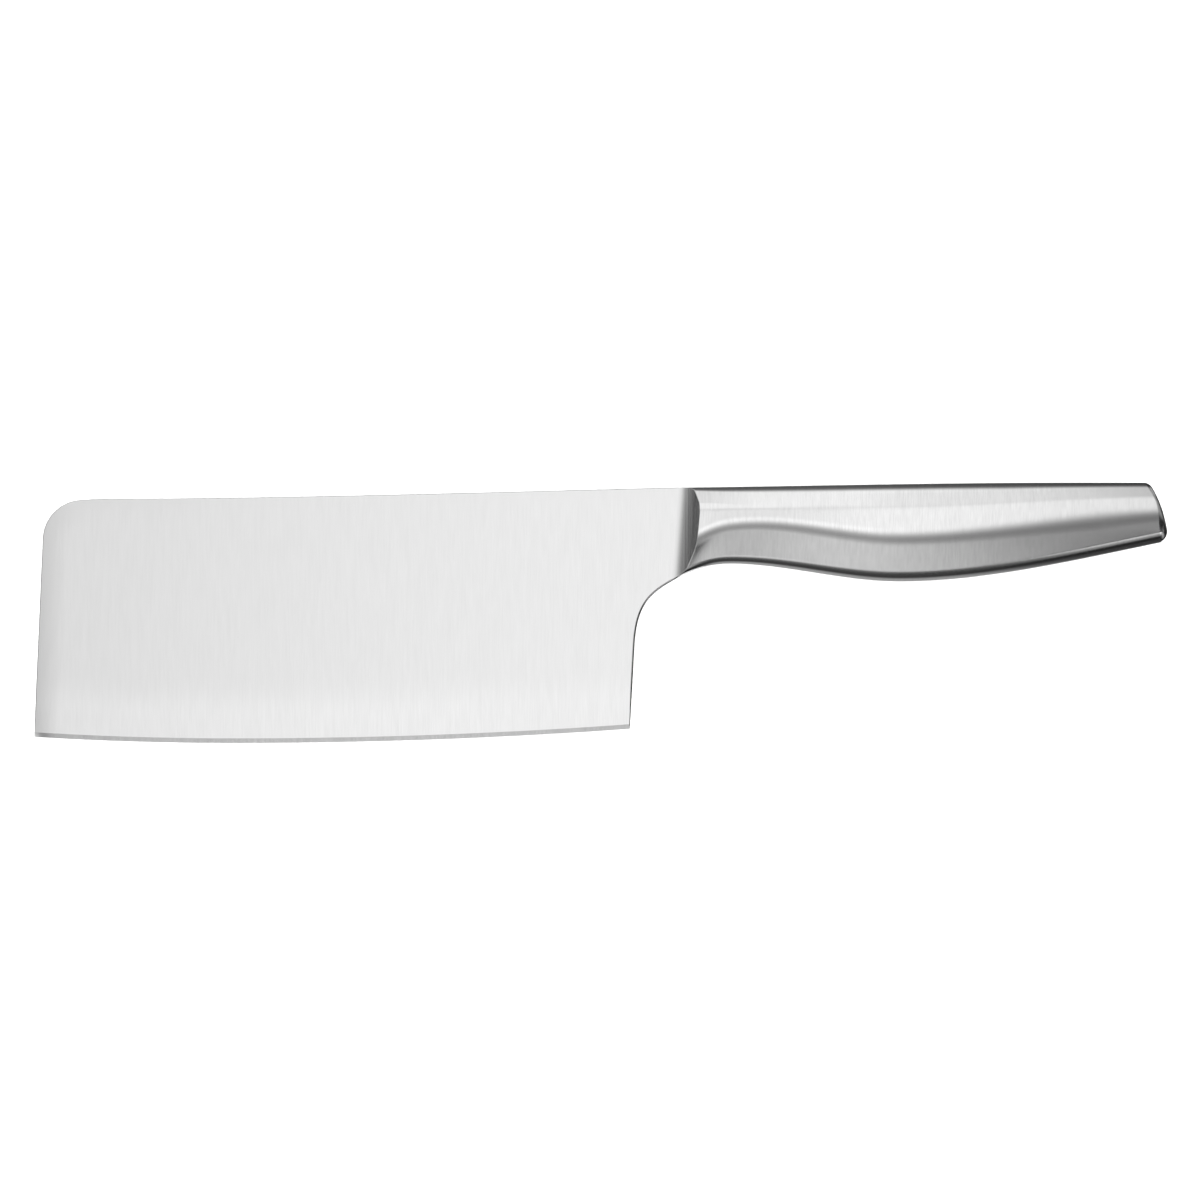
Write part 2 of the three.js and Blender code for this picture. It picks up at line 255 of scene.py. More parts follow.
@dataclass(frozen=True)
class HandleForm:
    """Outer surface of the handle, in millimetres."""

    cove_x: float = 177.5
    length: float = 135.0
    top_rise: float = 1.3
    top_slope: float = 0.012
    crest_from_cove: float = 104.0
    cove_depth: float = 24.6
    underside_slope: float = 0.55
    throat_from_cove: float = 13.8
    throat_depth: float = 20.9
    belly_from_cove: float = 60.5
    belly_depth: float = 25.8
    butt_depth: float = 14.55
    butt_slope: float = 0.2
    butt_radius: float = 48.0
    butt_square_depth: float = 22.5
    butt_top_radius: float = 1.2
    butt_bottom_radius: float = 3.3
    cheek_widths: tuple[float, float, float] = (9.6, 14.8, 13.0)  # at the cove, the belly and the butt
    crown_widths: tuple[float, float, float] = (3.8, 12.4, 11.0)
    keel_widths: tuple[float, float, float] = (2.4, 6.6, 7.2)
    throat_keel: float = 5.0  # the keel's width at the throat, to which it flares behind the cove
    keel_flares: tuple[float, float] = (0.16, 0.03)  # how fast each side opens at the cove and the throat
    butt_taper: float = 0.028  # how fast each side closes in at the butt
    cheek_lean: float = 1.2  # degrees
    shoulder_drops: tuple[float, float, float] = (5.5, 6.6, 3.9)
    ridge_heights: tuple[float, float, float, float] = (6.6, 10.75, 12.05, 6.5)  # cove, throat, belly, butt
    ridge_rises: tuple[float, float, float, float] = (0.25, 0.14, 0.0, -0.25)
    crown_rounds: tuple[float, float, float] = (1.7, 2.7, 3.2)  # cove, throat, belly
    shoulder_radius: float = 9.0
    ridge_radii: tuple[float, float, float] = (16.0, 20.0, 30.0)
    keel_radius: float = 4.8
    least_round: float = 0.2
    corner_rooms: tuple[float, float, float, float] = (0.45, 0.25, 0.7, 0.5)  # of a side, for each round
    bolster_length: float = 16.0
    spigot_length: float = 7.0
    wall: float = 1.2
    cap_thickness: float = 3.0
    weld_width: float = 1.6

    @property
    def throat_x(self) -> float:
        """Narrowest place, behind the cove."""
        return self.cove_x + self.throat_from_cove

    @property
    def belly_x(self) -> float:
        """Deepest place."""
        return self.cove_x + self.belly_from_cove

    @property
    def butt_x(self) -> float:
        """Back of the butt's arc."""
        return self.cove_x + self.length

    @property
    def joint_x(self) -> float:
        """Back of the bolster's outer surface, in the middle of the clearance to the weld."""
        return self.cove_x + self.bolster_length + FIT / 2

    @property
    def shell_x(self) -> float:
        """Front of the shells' outer surface, in the middle of the clearance to the weld."""
        return self.cove_x + self.bolster_length + self.weld_width - FIT / 2

    @property
    def butt_centre(self) -> Array:
        """Centre of the butt's arc in the side view."""
        return np.array([self.butt_x - self.butt_radius, -self.butt_square_depth])

    @cached_property
    def top(self) -> Profile:
        """Height of the top."""
        crest = self.cove_x + self.crest_from_cove
        return Profile((self.cove_x, 0.0, self.top_slope), (crest, self.top_rise, 0.0))

    @cached_property
    def underside(self) -> Profile:
        """Height of the underside."""
        return Profile(
            (self.cove_x, -self.cove_depth, self.underside_slope),
            (self.throat_x, -self.throat_depth, 0.0),
            (self.belly_x, -self.belly_depth, 0.0),
            (self.butt_x, -self.butt_depth, self.butt_slope),
        )

    def level(self, sizes: tuple[float, float, float]) -> Profile:
        """A size that is given at the cove, the belly and the butt, and is level at each."""
        places = (self.cove_x, self.belly_x, self.butt_x)
        return Profile(*((place, size, 0.0) for place, size in zip(places, sizes)))

    def half_width(self, widths: tuple[float, float, float]) -> Profile:
        """Half of a width that is given at the cove, the belly and the butt."""
        widening = (self.cheek_widths[1] - self.cheek_widths[0]) / 2 / self.belly_from_cove
        cove, belly, butt = (width / 2 for width in widths)
        return Profile(
            (self.cove_x, cove, widening), (self.belly_x, belly, 0.0), (self.butt_x, butt, -self.butt_taper)
        )

    @cached_property
    def cheek(self) -> Profile:
        """Half width at the middle of the cheek's flat."""
        return self.half_width(self.cheek_widths)

    @cached_property
    def crown(self) -> Profile:
        """Half width of the top, before its edges are rounded."""
        return self.half_width(self.crown_widths)

    @cached_property
    def keel(self) -> Profile:
        """Half width of the underside, before its edges are rounded."""
        cove, belly, butt = (width / 2 for width in self.keel_widths)
        return Profile(
            (self.cove_x, cove, self.keel_flares[0]),
            (self.throat_x, self.throat_keel / 2, self.keel_flares[1]),
            (self.belly_x, belly, 0.0),
            (self.butt_x, butt, -self.butt_taper),
        )

    @cached_property
    def ridge_radius(self) -> Profile:
        """Rounding of the ridge between the cheek and the lower flank."""
        return self.level(self.ridge_radii)

    @cached_property
    def shoulder_drop(self) -> Profile:
        """Depth of the shoulder below the top."""
        return self.level(self.shoulder_drops)

    @cached_property
    def ridge(self) -> Profile:
        """Height of the cheek's lower end above the underside."""
        places = (self.cove_x, self.throat_x, self.belly_x, self.butt_x)
        return Profile(*zip(places, self.ridge_heights, self.ridge_rises))

    @cached_property
    def crown_round(self) -> Profile:
        """Rounding of the top's edges."""
        cove, throat, belly = self.crown_rounds
        rise = (throat - cove) / self.throat_from_cove
        return Profile(
            (self.cove_x, cove, rise), (self.throat_x, throat, rise / 3), (self.belly_x, belly, 0.0)
        )

    def rounding(self, corner: Corner, x: Array, inset: Array) -> Rounding:
        """Arc of one corner of the section, set in from the surface.

        Args:
            corner: Which corner.
            x: Places along the handle.
            inset: Depth below the surface at each place.

        Returns:
            The corner's arc at each place.
        """
        cheek_top = self.top(x) - self.shoulder_drop(x)
        cheek_foot = self.underside(x) + self.ridge(x)
        lean = math.tan(math.radians(self.cheek_lean)) * (cheek_top - cheek_foot) / 2
        stops = [
            (-self.crown(x), self.top(x)),
            (self.crown(x), self.top(x)),
            (self.cheek(x) + lean, cheek_top),
            (self.cheek(x) - lean, cheek_foot),
            (self.keel(x), self.underside(x)),
            (-self.keel(x), self.underside(x)),
        ]
        radii = (self.crown_round(x), self.shoulder_radius, self.ridge_radius(x), self.keel_radius)
        before, here, after = stops[corner.value : corner.value + 3]
        start = np.arctan2(here[0] - before[0], before[1] - here[1])
        end = np.arctan2(after[0] - here[0], here[1] - after[1])
        turn = (start - end) / 2
        lengths = [np.hypot(b[0] - a[0], b[1] - a[1]) for a, b in ((before, here), (here, after))]
        room = self.corner_rooms[corner.value] * np.minimum(*lengths)
        radius = np.minimum(radii[corner.value], room / np.tan(turn))
        radius = np.maximum(radius - inset, self.least_round)
        reach = (inset + radius) / np.cos(turn)
        middle = (start + end) / 2
        across = here[0] - reach * np.cos(middle)
        height = here[1] - reach * np.sin(middle)
        return Rounding(start, end, radius, across, height)

    def section(
        self, x: Array, rows: Sequence[Row], inset: Array | float = 0.0
    ) -> tuple[Array, Array, Array]:
        """Places on the handle's section, one column for each row.

        Args:
            x: Places along the handle, with one column for each row.
            rows: Lines along the handle.
            inset: Depth below the surface.

        Returns:
            Half width, height and the angle at which the surface faces.
        """
        inset = np.broadcast_to(inset, x.shape)
        width, height, angle = (np.empty(x.shape) for _ in range(3))
        for n, row in enumerate(rows):
            arc = self.rounding(row.corner, x[..., n], inset[..., n])
            if row.across is None:
                angle[..., n] = arc.start + (arc.end - arc.start) * row.share
                width[..., n] = arc.across + arc.radius * np.cos(angle[..., n])
            else:
                above = row.corner is Corner.CROWN
                limit = arc.across if above else arc.across + arc.radius * np.cos(arc.start)
                width[..., n] = row.across + (limit - row.across) * row.part
                cosine = np.clip((width[..., n] - arc.across) / arc.radius, 0.0, 1.0)
                angle[..., n] = np.arccos(cosine) if above else -np.arccos(cosine)
            height[..., n] = arc.height + arc.radius * np.sin(angle[..., n])
        return width, height, angle

    def surface(self, x: Array, rows: Sequence[Row], inset: Array | float = 0.0) -> Patch:
        """Points and normals of the handle's surface, one column for each row.

        Args:
            x: Places along the handle, with one column for each row.
            rows: Lines along the handle.
            inset: Depth below the surface.

        Returns:
            The patch between the first and last place.
        """
        step = 0.02
        side = np.array([row.side for row in rows])
        width, height, angle = self.section(x, rows, inset)
        ahead = self.section(x + step, rows, inset)
        behind = self.section(x - step, rows, inset)
        rise = (ahead[1] - behind[1]) * np.sin(angle) + (ahead[0] - behind[0]) * np.cos(angle)
        normals = np.stack([-rise / (2 * step), np.sin(angle), np.cos(angle) * side], axis=-1)
        return Patch(np.stack([x, height, width * side], axis=-1), unit(normals))

    def butt_corner(self, radius: float, height: float, slope: float) -> Array:
        """Centre of a corner's round inside the butt's arc and a straight side.

        Args:
            radius: Of the round.
            height: Of the line that its centre lies on, at the back of the butt's arc.
            slope: Of that line.

        Returns:
            The centre in the side view.
        """
        centre = self.butt_centre
        rise = height + slope * (centre[0] - self.butt_x) - centre[1]
        free = (1 + slope**2) * (self.butt_radius - radius) ** 2 - rise**2
        along = (math.sqrt(free) - slope * rise) / (1 + slope**2)
        return centre + np.array([along, rise + slope * along])

    @cached_property
    def butt_angle(self) -> float:
        """Direction in which the butt's slanting face looks, in the side view."""
        lift = self.butt_bottom_radius * math.hypot(1, self.butt_slope) - self.butt_depth
        upper = self.butt_corner(self.butt_top_radius, self.top_rise - self.butt_top_radius, 0.0)
        lower = self.butt_corner(self.butt_bottom_radius, lift, self.butt_slope)
        angles = [math.atan2(*(corner - self.butt_centre)[::-1]) for corner in (upper, lower)]
        return sum(angles) / 2

    def settle(
        self, rows: Sequence[Row], goal: Callable[[Array], Array], inset: Array | float = 0.0
    ) -> Array:
        """Where each row meets a surface across the handle.

        Args:
            rows: Lines along the handle.
            goal: X of that surface at a height.
            inset: Depth below the handle's surface.

        Returns:
            X for each row.
        """
        x = np.full(len(rows), self.butt_x)
        for _ in range(SETTLING_ROUNDS):
            x = goal(self.section(x, rows, inset)[1])
        return x

    def plane_x(self, rows: Sequence[Row], depth: float, inset: float = 0.0) -> Array:
        """Where each row meets a plane in front of the butt's slanting face.

        Args:
            rows: Lines along the handle.
            depth: Of the plane in front of that face.
            inset: Depth below the handle's surface.

        Returns:
            X for each row.
        """
        centre = self.butt_centre
        reach = self.butt_radius - depth
        cos, sin = math.cos(self.butt_angle), math.sin(self.butt_angle)
        return self.settle(rows, lambda y: centre[0] + (reach - (y - centre[1]) * sin) / cos, inset)

    def arc_x(self, rows: Sequence[Row], depth: Array, inset: Array) -> Array:
        """Where each row meets an arc inside the butt's arc.

        Args:
            rows: Lines along the handle.
            depth: Of the arc inside the butt's, for each row.
            inset: Depth below the handle's surface, for each row.

        Returns:
            X for each row.
        """
        centre = self.butt_centre
        reach = (self.butt_radius - depth) ** 2
        return self.settle(rows, lambda y: centre[0] + np.sqrt(reach - (y - centre[1]) ** 2), inset)


def turns(corner: Corner, steps: int, until: float = 1.0) -> list[Row]:
    """Rows round a corner.

    Args:
        corner: Which corner.
        steps: Number of stretches between the rows.
        until: Share of the corner's turn at which they end.

    Returns:
        The rows from the top down.
    """
    return [Row(corner, share=until * n / steps) for n in range(steps + 1)]


def mirrored(rows: Sequence[Row]) -> list[Row]:
    """The same rows on the right side, listed the other way."""
    return [row._replace(side=-row.side) for row in reversed(rows)]


SIDE_ROWS = turns(Corner.CROWN, steps=12) + turns(Corner.SHOULDER, steps=10) + turns(Corner.RIDGE, steps=14)
SHELL_ROWS = [
    Row(Corner.CROWN, across=SEAM),
    *SIDE_ROWS,
    *turns(Corner.KEEL, steps=10, until=0.8),
    Row(Corner.KEEL, across=SEAM),
]
SPINE_HALF = [Row(Corner.CROWN, across=SEAM * n / 2) for n in range(3)]
SPINE_ROWS = mirrored(SPINE_HALF) + SPINE_HALF[1:]
BELLY_HALF = [Row(Corner.KEEL, across=SEAM * (1 - n / 4)) for n in range(5)]
BELLY_ROWS = BELLY_HALF + mirrored(BELLY_HALF)[1:]
RING_ROWS = SHELL_ROWS + BELLY_ROWS[1:-1] + mirrored(SHELL_ROWS) + SPINE_ROWS[1:]


@dataclass(frozen=True)
class RestPose:
    """How the knife lies in the frame: its tilt and the place of its zero point, in metres."""

    turn: Array
    shift: Array

    @classmethod
    def from_frame(cls, blade: "BladeForm") -> "RestPose":
        """Read the pose from the blade's faces and the blade's box.

        Args:
            blade: The blade's shape.

        Returns:
            The pose in which the toe at zero, the deepest point and the resting point lie on that box.
        """
        faces = {mount["name"]: Vector(mount["axis"]) for mount in frame["record"]["mounts"]}
        upright = (faces["blade_left_face"] - faces["blade_right_face"]).normalized()
        turn = np.array(Vector((0, 0, 1)).rotation_difference(upright).to_matrix())
        low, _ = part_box("blade")
        lowest = np.array([(0.0, -blade.toe_depth, 0.0), blade.deepest, blade.resting_point]) * MM
        return cls(turn, np.array(low) - np.diag(lowest @ turn.T))

    def place(self, points: Array) -> Array:
        """Points in millimetres on the knife, as points in the frame."""
        return points * MM @ self.turn.T + self.shift

    def direct(self, vectors: Array) -> Array:
        """Directions on the knife, as directions in the frame."""
        return vectors @ self.turn.T


class Skin:
    """Patches of one piece's surface, with normals and grain coordinates."""

    def __init__(self) -> None:
        """Start with no patches."""
        self.points: list[Array] = []
        self.normals: list[Array] = []
        self.grain: list[Array] = []
        self.faces: list[Array] = []
        self.finishes: list[int] = []
        self.count = 0

    def fill(self, patch: Patch, grain: Array, faces: Array, finish: int = 0) -> None:
        """Add a patch and turn its faces to the side that its normals point to.

        Args:
            patch: Points and normals.
            grain: Two coordinates for each point in millimetres, the first one across the brush marks.
            faces: Corners of each face, as places in the patch.
            finish: Which of the mesh's materials the patch has.
        """
        corners = patch.points[faces]
        facing = np.cross(corners[:, 1] - corners[:, 0], corners[:, -1] - corners[:, 0])
        facing += np.cross(corners[:, 2] - corners[:, 1], corners[:, 0] - corners[:, 1])
        wrong = np.einsum("ij,ij->i", facing, patch.normals[faces].sum(1)) < 0
        faces = np.where(wrong[:, None], faces[:, ::-1], faces)
        self.points.append(patch.points)
        self.normals.append(patch.normals)
        self.grain.append(grain * GRAIN_SCALE)
        self.faces.append(faces + self.count)
        self.finishes.append(finish)
        self.count += len(patch.points)

    def grid(self, patch: Patch) -> None:
        """Add a patch of rows and columns, with the grain across the columns.

        Args:
            patch: Points and normals in two directions.
        """
        rows, columns = patch.points.shape[:2]
        index = np.arange(rows * columns).reshape(rows, columns)
        faces = np.stack([index[:-1, :-1], index[1:, :-1], index[1:, 1:], index[:-1, 1:]], axis=-1)
        column = np.broadcast_to(np.arange(columns, dtype=float), (rows, columns))
        strides = np.diff(patch.points, axis=0, prepend=patch.points[:1])
        along = np.cumsum(np.linalg.norm(strides, axis=-1), axis=0)
        grain = np.stack([along, column], axis=-1)
        flat = Patch(patch.points.reshape(-1, 3), patch.normals.reshape(-1, 3))
        self.fill(flat, grain.reshape(-1, 2), faces.reshape(-1, 4))

    def pair(self, patch: Patch) -> None:
        """Add a patch of rows and columns on the left side, and its mirror on the right."""
        self.grid(patch)
        self.grid(flipped(patch))

    def lid(self, ring: Array, normal: Array) -> None:
        """Close a ring with a flat fan of triangles.

        Args:
            ring: Points of the ring, the first one repeated at its end.
            normal: Side that the lid faces.
        """
        points = np.concatenate([ring, ring[:-1].mean(0)[None]])
        index = np.arange(len(ring) - 1)
        faces = np.stack([index, index + 1, np.full_like(index, len(ring))], axis=-1)
        self.fill(Patch(points, np.broadcast_to(normal, points.shape)), points[:, 1:], faces)

    def mesh(self, name: str, pose: RestPose) -> Mesh:
        """A mesh of all the patches, joined where their points meet.

        Args:
            name: Of the mesh.
            pose: How the knife lies in the frame.

        Returns:
            The mesh, with its normals and a grain map.
        """
        points = np.concatenate(self.points)
        normals = pose.direct(np.concatenate(self.normals))
        grain = np.concatenate(self.grain)
        rounded = np.round(points, JOIN_DIGITS)
        _, first, joined = np.unique(rounded, axis=0, return_index=True, return_inverse=True)
        joined = joined.reshape(-1)
        loops: list[int] = []
        faces: list[list[int]] = []
        finishes: list[int] = []
        for finish, group in zip(self.finishes, self.faces):
            for face in group.tolist():
                kept = [n for k, n in enumerate(face) if joined[n] != joined[face[k - 1]]]
                if len(kept) > 2:
                    faces.append([int(joined[n]) for n in kept])
                    finishes.append(finish)
                    loops += kept
        made = bpy.data.meshes.new(name)
        made.from_pydata(pose.place(points[first]).tolist(), [], faces)
        made.uv_layers.new(name="grain").uv.foreach_set("vector", grain[loops].ravel())
        made.polygons.foreach_set("material_index", finishes)
        out = made.attributes.new("out", "FLOAT_VECTOR", "CORNER")
        out.data.foreach_set("vector", normals[loops].ravel())
        set_normals(made, normals[loops])
        return made


def set_normals(mesh: Mesh, normals: Array) -> None:
    """Shade a mesh smoothly with the given normal at each face corner."""
    mesh.polygons.foreach_set("use_smooth", np.ones(len(mesh.polygons), dtype=bool))
    mesh.normals_split_custom_set(normals.tolist())
    mesh.update()


class Graph:
    """A node tree, with short calls to add nodes and join them."""

    def __init__(self, tree: bpy.types.NodeTree) -> None:
        """Work on a tree, emptied first."""
        self.tree = tree
        tree.nodes.clear()

    def node(
        self, kind: str, inputs: dict[str | int, object] | None = None, **settings: object
    ) -> bpy.types.Node:
        """Add a node.

        Args:
            kind: The node's type.
            inputs: Values or sockets for its inputs, by name or place.
            settings: Its other settings.

        Returns:
            The node.
        """
        made = self.tree.nodes.new(kind)
        for name, value in settings.items():
            setattr(made, name, value)
        for name, value in (inputs or {}).items():
            self.put(made.inputs[name], value)
        return made

    def put(self, socket: Socket, value: object) -> None:
        """Give an input a value, or join a socket to it."""
        if isinstance(value, Socket):
            self.tree.links.new(value, socket)
        else:
            socket.default_value = value

    def math(self, operation: str, *values: object) -> Socket:
        """Result of a math node on values or sockets."""
        made = self.node("ShaderNodeMath", dict(enumerate(values)), operation=operation)
        return made.outputs[0]

    def remap(self, value: Socket, start: float, end: float, low: float = 0.0, high: float = 1.0) -> Socket:
        """A value carried from one range to another and kept inside it.

        Args:
            value: The value.
            start: Where the first range begins.
            end: Where it ends.
            low: The result at its beginning.
            high: The result at its end.

        Returns:
            The result.
        """
        return self.node("ShaderNodeMapRange", {0: value, 1: start, 2: end, 3: low, 4: high}).outputs[0]

    def ramp(self, value: Socket, stops: Pairs) -> Socket:
        """Brightness read from a ramp.

        Args:
            value: Where to read it.
            stops: Places in rising order, each with its brightness.

        Returns:
            The brightness.
        """
        low, high = stops[0][0], stops[-1][0]
        peak = max(bright for _, bright in stops)
        made = self.node("ShaderNodeValToRGB", {0: self.remap(value, low, high)})
        made.color_ramp.interpolation = "EASE"
        elements = made.color_ramp.elements
        for place, _ in stops[1:-1]:
            elements.new((place - low) / (high - low))
        for element, (place, bright) in zip(elements, stops):
            element.position = (place - low) / (high - low)
            element.color = (*[bright / peak] * 3, 1.0)
        return self.math("MULTIPLY", made.outputs[0], peak)

    def mix(self, factor: object, low: object, high: object) -> Socket:
        """A value between two others."""
        made = self.node("ShaderNodeMix", {0: factor, 2: low, 3: high}, data_type="FLOAT")
        return made.outputs[0]


@dataclass(frozen=True)
class Brushed:
    """Steel brushed in one direction, with the marks across the knife's length.

    Widths, lengths and relief are in millimetres. Tone is how far the marks lighten and darken the steel.
    """

    name: str
    colour: tuple[float, float, float]
    roughness: float
    anisotropy: float
    mark_width: float
    mark_length: float
    tone: float
    relief: float
    broader: float = 9.0  # how many times wider than the fine marks the broad ones are
    broad_share: float = 0.35  # how much of the level is theirs
    gloss_change: float = 3.0  # how far the roughness changes for each step of tone
    most_change: float = 0.12  # limit of that change

    def material(self) -> Material:
        """Build the steel from nodes.

        Returns:
            The material.
        """
        made = bpy.data.materials.new(self.name)
        made.use_nodes = True
        graph = Graph(made.node_tree)
        place = graph.node("ShaderNodeTexCoord").outputs["Object"]
        fine = self.marks(graph, place, self.mark_width)
        broad = self.marks(graph, place, self.mark_width * self.broader)
        level = graph.mix(self.strength(graph), 0.5, graph.mix(self.broad_share, fine, broad))
        dark = tuple(max(0.0, c * (1 - self.tone)) for c in self.colour)
        light = tuple(min(1.0, c * (1 + self.tone)) for c in self.colour)
        colour = graph.node("ShaderNodeMix", {0: level, 6: (*dark, 1), 7: (*light, 1)}, data_type="RGBA")
        change = min(self.most_change, self.gloss_change * self.tone)
        rough = graph.remap(level, 0.0, 1.0, self.roughness * (1 + change), self.roughness * (1 - change))
        relief = {"Strength": 1.0, "Distance": self.relief * MM, "Height": level}
        bump = graph.node("ShaderNodeBump", relief)
        tangent = graph.node("ShaderNodeTangent", direction_type="UV_MAP", uv_map="grain")
        steel = graph.node(
            "ShaderNodeBsdfPrincipled",
            {
                "Base Color": colour.outputs[2],
                "Metallic": 1.0,
                "Roughness": rough,
                "Anisotropic": self.anisotropy,
                "Normal": bump.outputs[0],
                "Tangent": tangent.outputs[0],
            },
        )
        graph.node("ShaderNodeOutputMaterial", {"Surface": steel.outputs[0]})
        return made

    def marks(self, graph: Graph, place: Socket, width: float) -> Socket:
        """Brush marks from nought to one.

        Args:
            graph: The material's nodes.
            place: Object coordinates.
            width: Of the marks.

        Returns:
            Their level.
        """
        across = 1 / (width * MM)
        along = 1 / (self.mark_length * MM)
        stretched = graph.node(
            "ShaderNodeMapping", {"Vector": place, "Scale": (across, along, along)}, vector_type="POINT"
        )
        noise = graph.node(
            "ShaderNodeTexNoise", {"Vector": stretched.outputs[0], "Scale": 1.0, "Detail": 2.0}
        )
        return graph.ramp(noise.outputs[0], ((0.3, 0.0), (0.7, 1.0)))

    def strength(self, _graph: Graph) -> Socket | float:
        """How strongly the marks show, from nought to one."""
        return 1.0


@dataclass(frozen=True)
class CoveGrind(Brushed):
    """Coarse grinding marks that set in behind the cove's start, which is nought on the grain map."""

    sets_in: float = 0.8

    def strength(self, graph: Graph) -> Socket | float:
        """Read the way into the cove from the grain map."""
        place = graph.node("ShaderNodeUVMap", uv_map="grain").outputs[0]
        behind = graph.node("ShaderNodeSeparateXYZ", {0: place}).outputs[0]
        return graph.remap(behind, 0.0, self.sets_in * GRAIN_SCALE)


PALE_STEEL = (0.83, 0.83, 0.83)
STEEL = (0.80, 0.80, 0.80)
RAW_STEEL = (0.62, 0.60, 0.58)
SATIN = Brushed(
    name="blade_satin",
    colour=PALE_STEEL,
    roughness=0.22,
    anisotropy=0.5,
    mark_width=0.22,
    mark_length=8.0,
    tone=0.011,
    relief=0.00002,
)
HANDLE_BRUSH = Brushed(
    name="handle_brush",
    colour=STEEL,
    roughness=0.18,
    anisotropy=0.5,
    mark_width=0.25,
    mark_length=4.0,
    tone=0.032,
    relief=0.0001,
)
WELD_BRUSH = replace(HANDLE_BRUSH, name="weld_brush")
COVE_GRIND = CoveGrind(
    name="cove_grind",
    colour=PALE_STEEL,
    roughness=0.22,
    anisotropy=0.5,
    mark_width=0.5,
    mark_length=40.0,
    tone=0.24,
    relief=0.001,
)
EDGE_GRIND = Brushed(
    name="edge_grind",
    colour=STEEL,
    roughness=0.20,
    anisotropy=0.4,
    mark_width=0.25,
    mark_length=3.0,
    tone=0.05,
    relief=0.0001,
)
BEAD = Brushed(
    name="weld_bead",
    colour=RAW_STEEL,
    roughness=0.42,
    anisotropy=0.0,
    mark_width=1.5,
    mark_length=1.5,
    tone=0.15,
    relief=0.01,
)


def piece(mesh: Mesh, node: str, slot: Slot) -> None:
    """Show a finished mesh in place of a node of the frame, riding on the knife's one body.

    Args:
        mesh: The mesh, with its materials.
        node: The node that it stands for.
        slot: The record's slot for its finish. It is not used.
    """
    made = bpy.data.objects.new(f"{node}_look", mesh)
    bpy.context.scene.collection.objects.link(made)
    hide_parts(node)
    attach(made, "root")
    log.info("%s: %d faces", made.name, len(mesh.polygons))


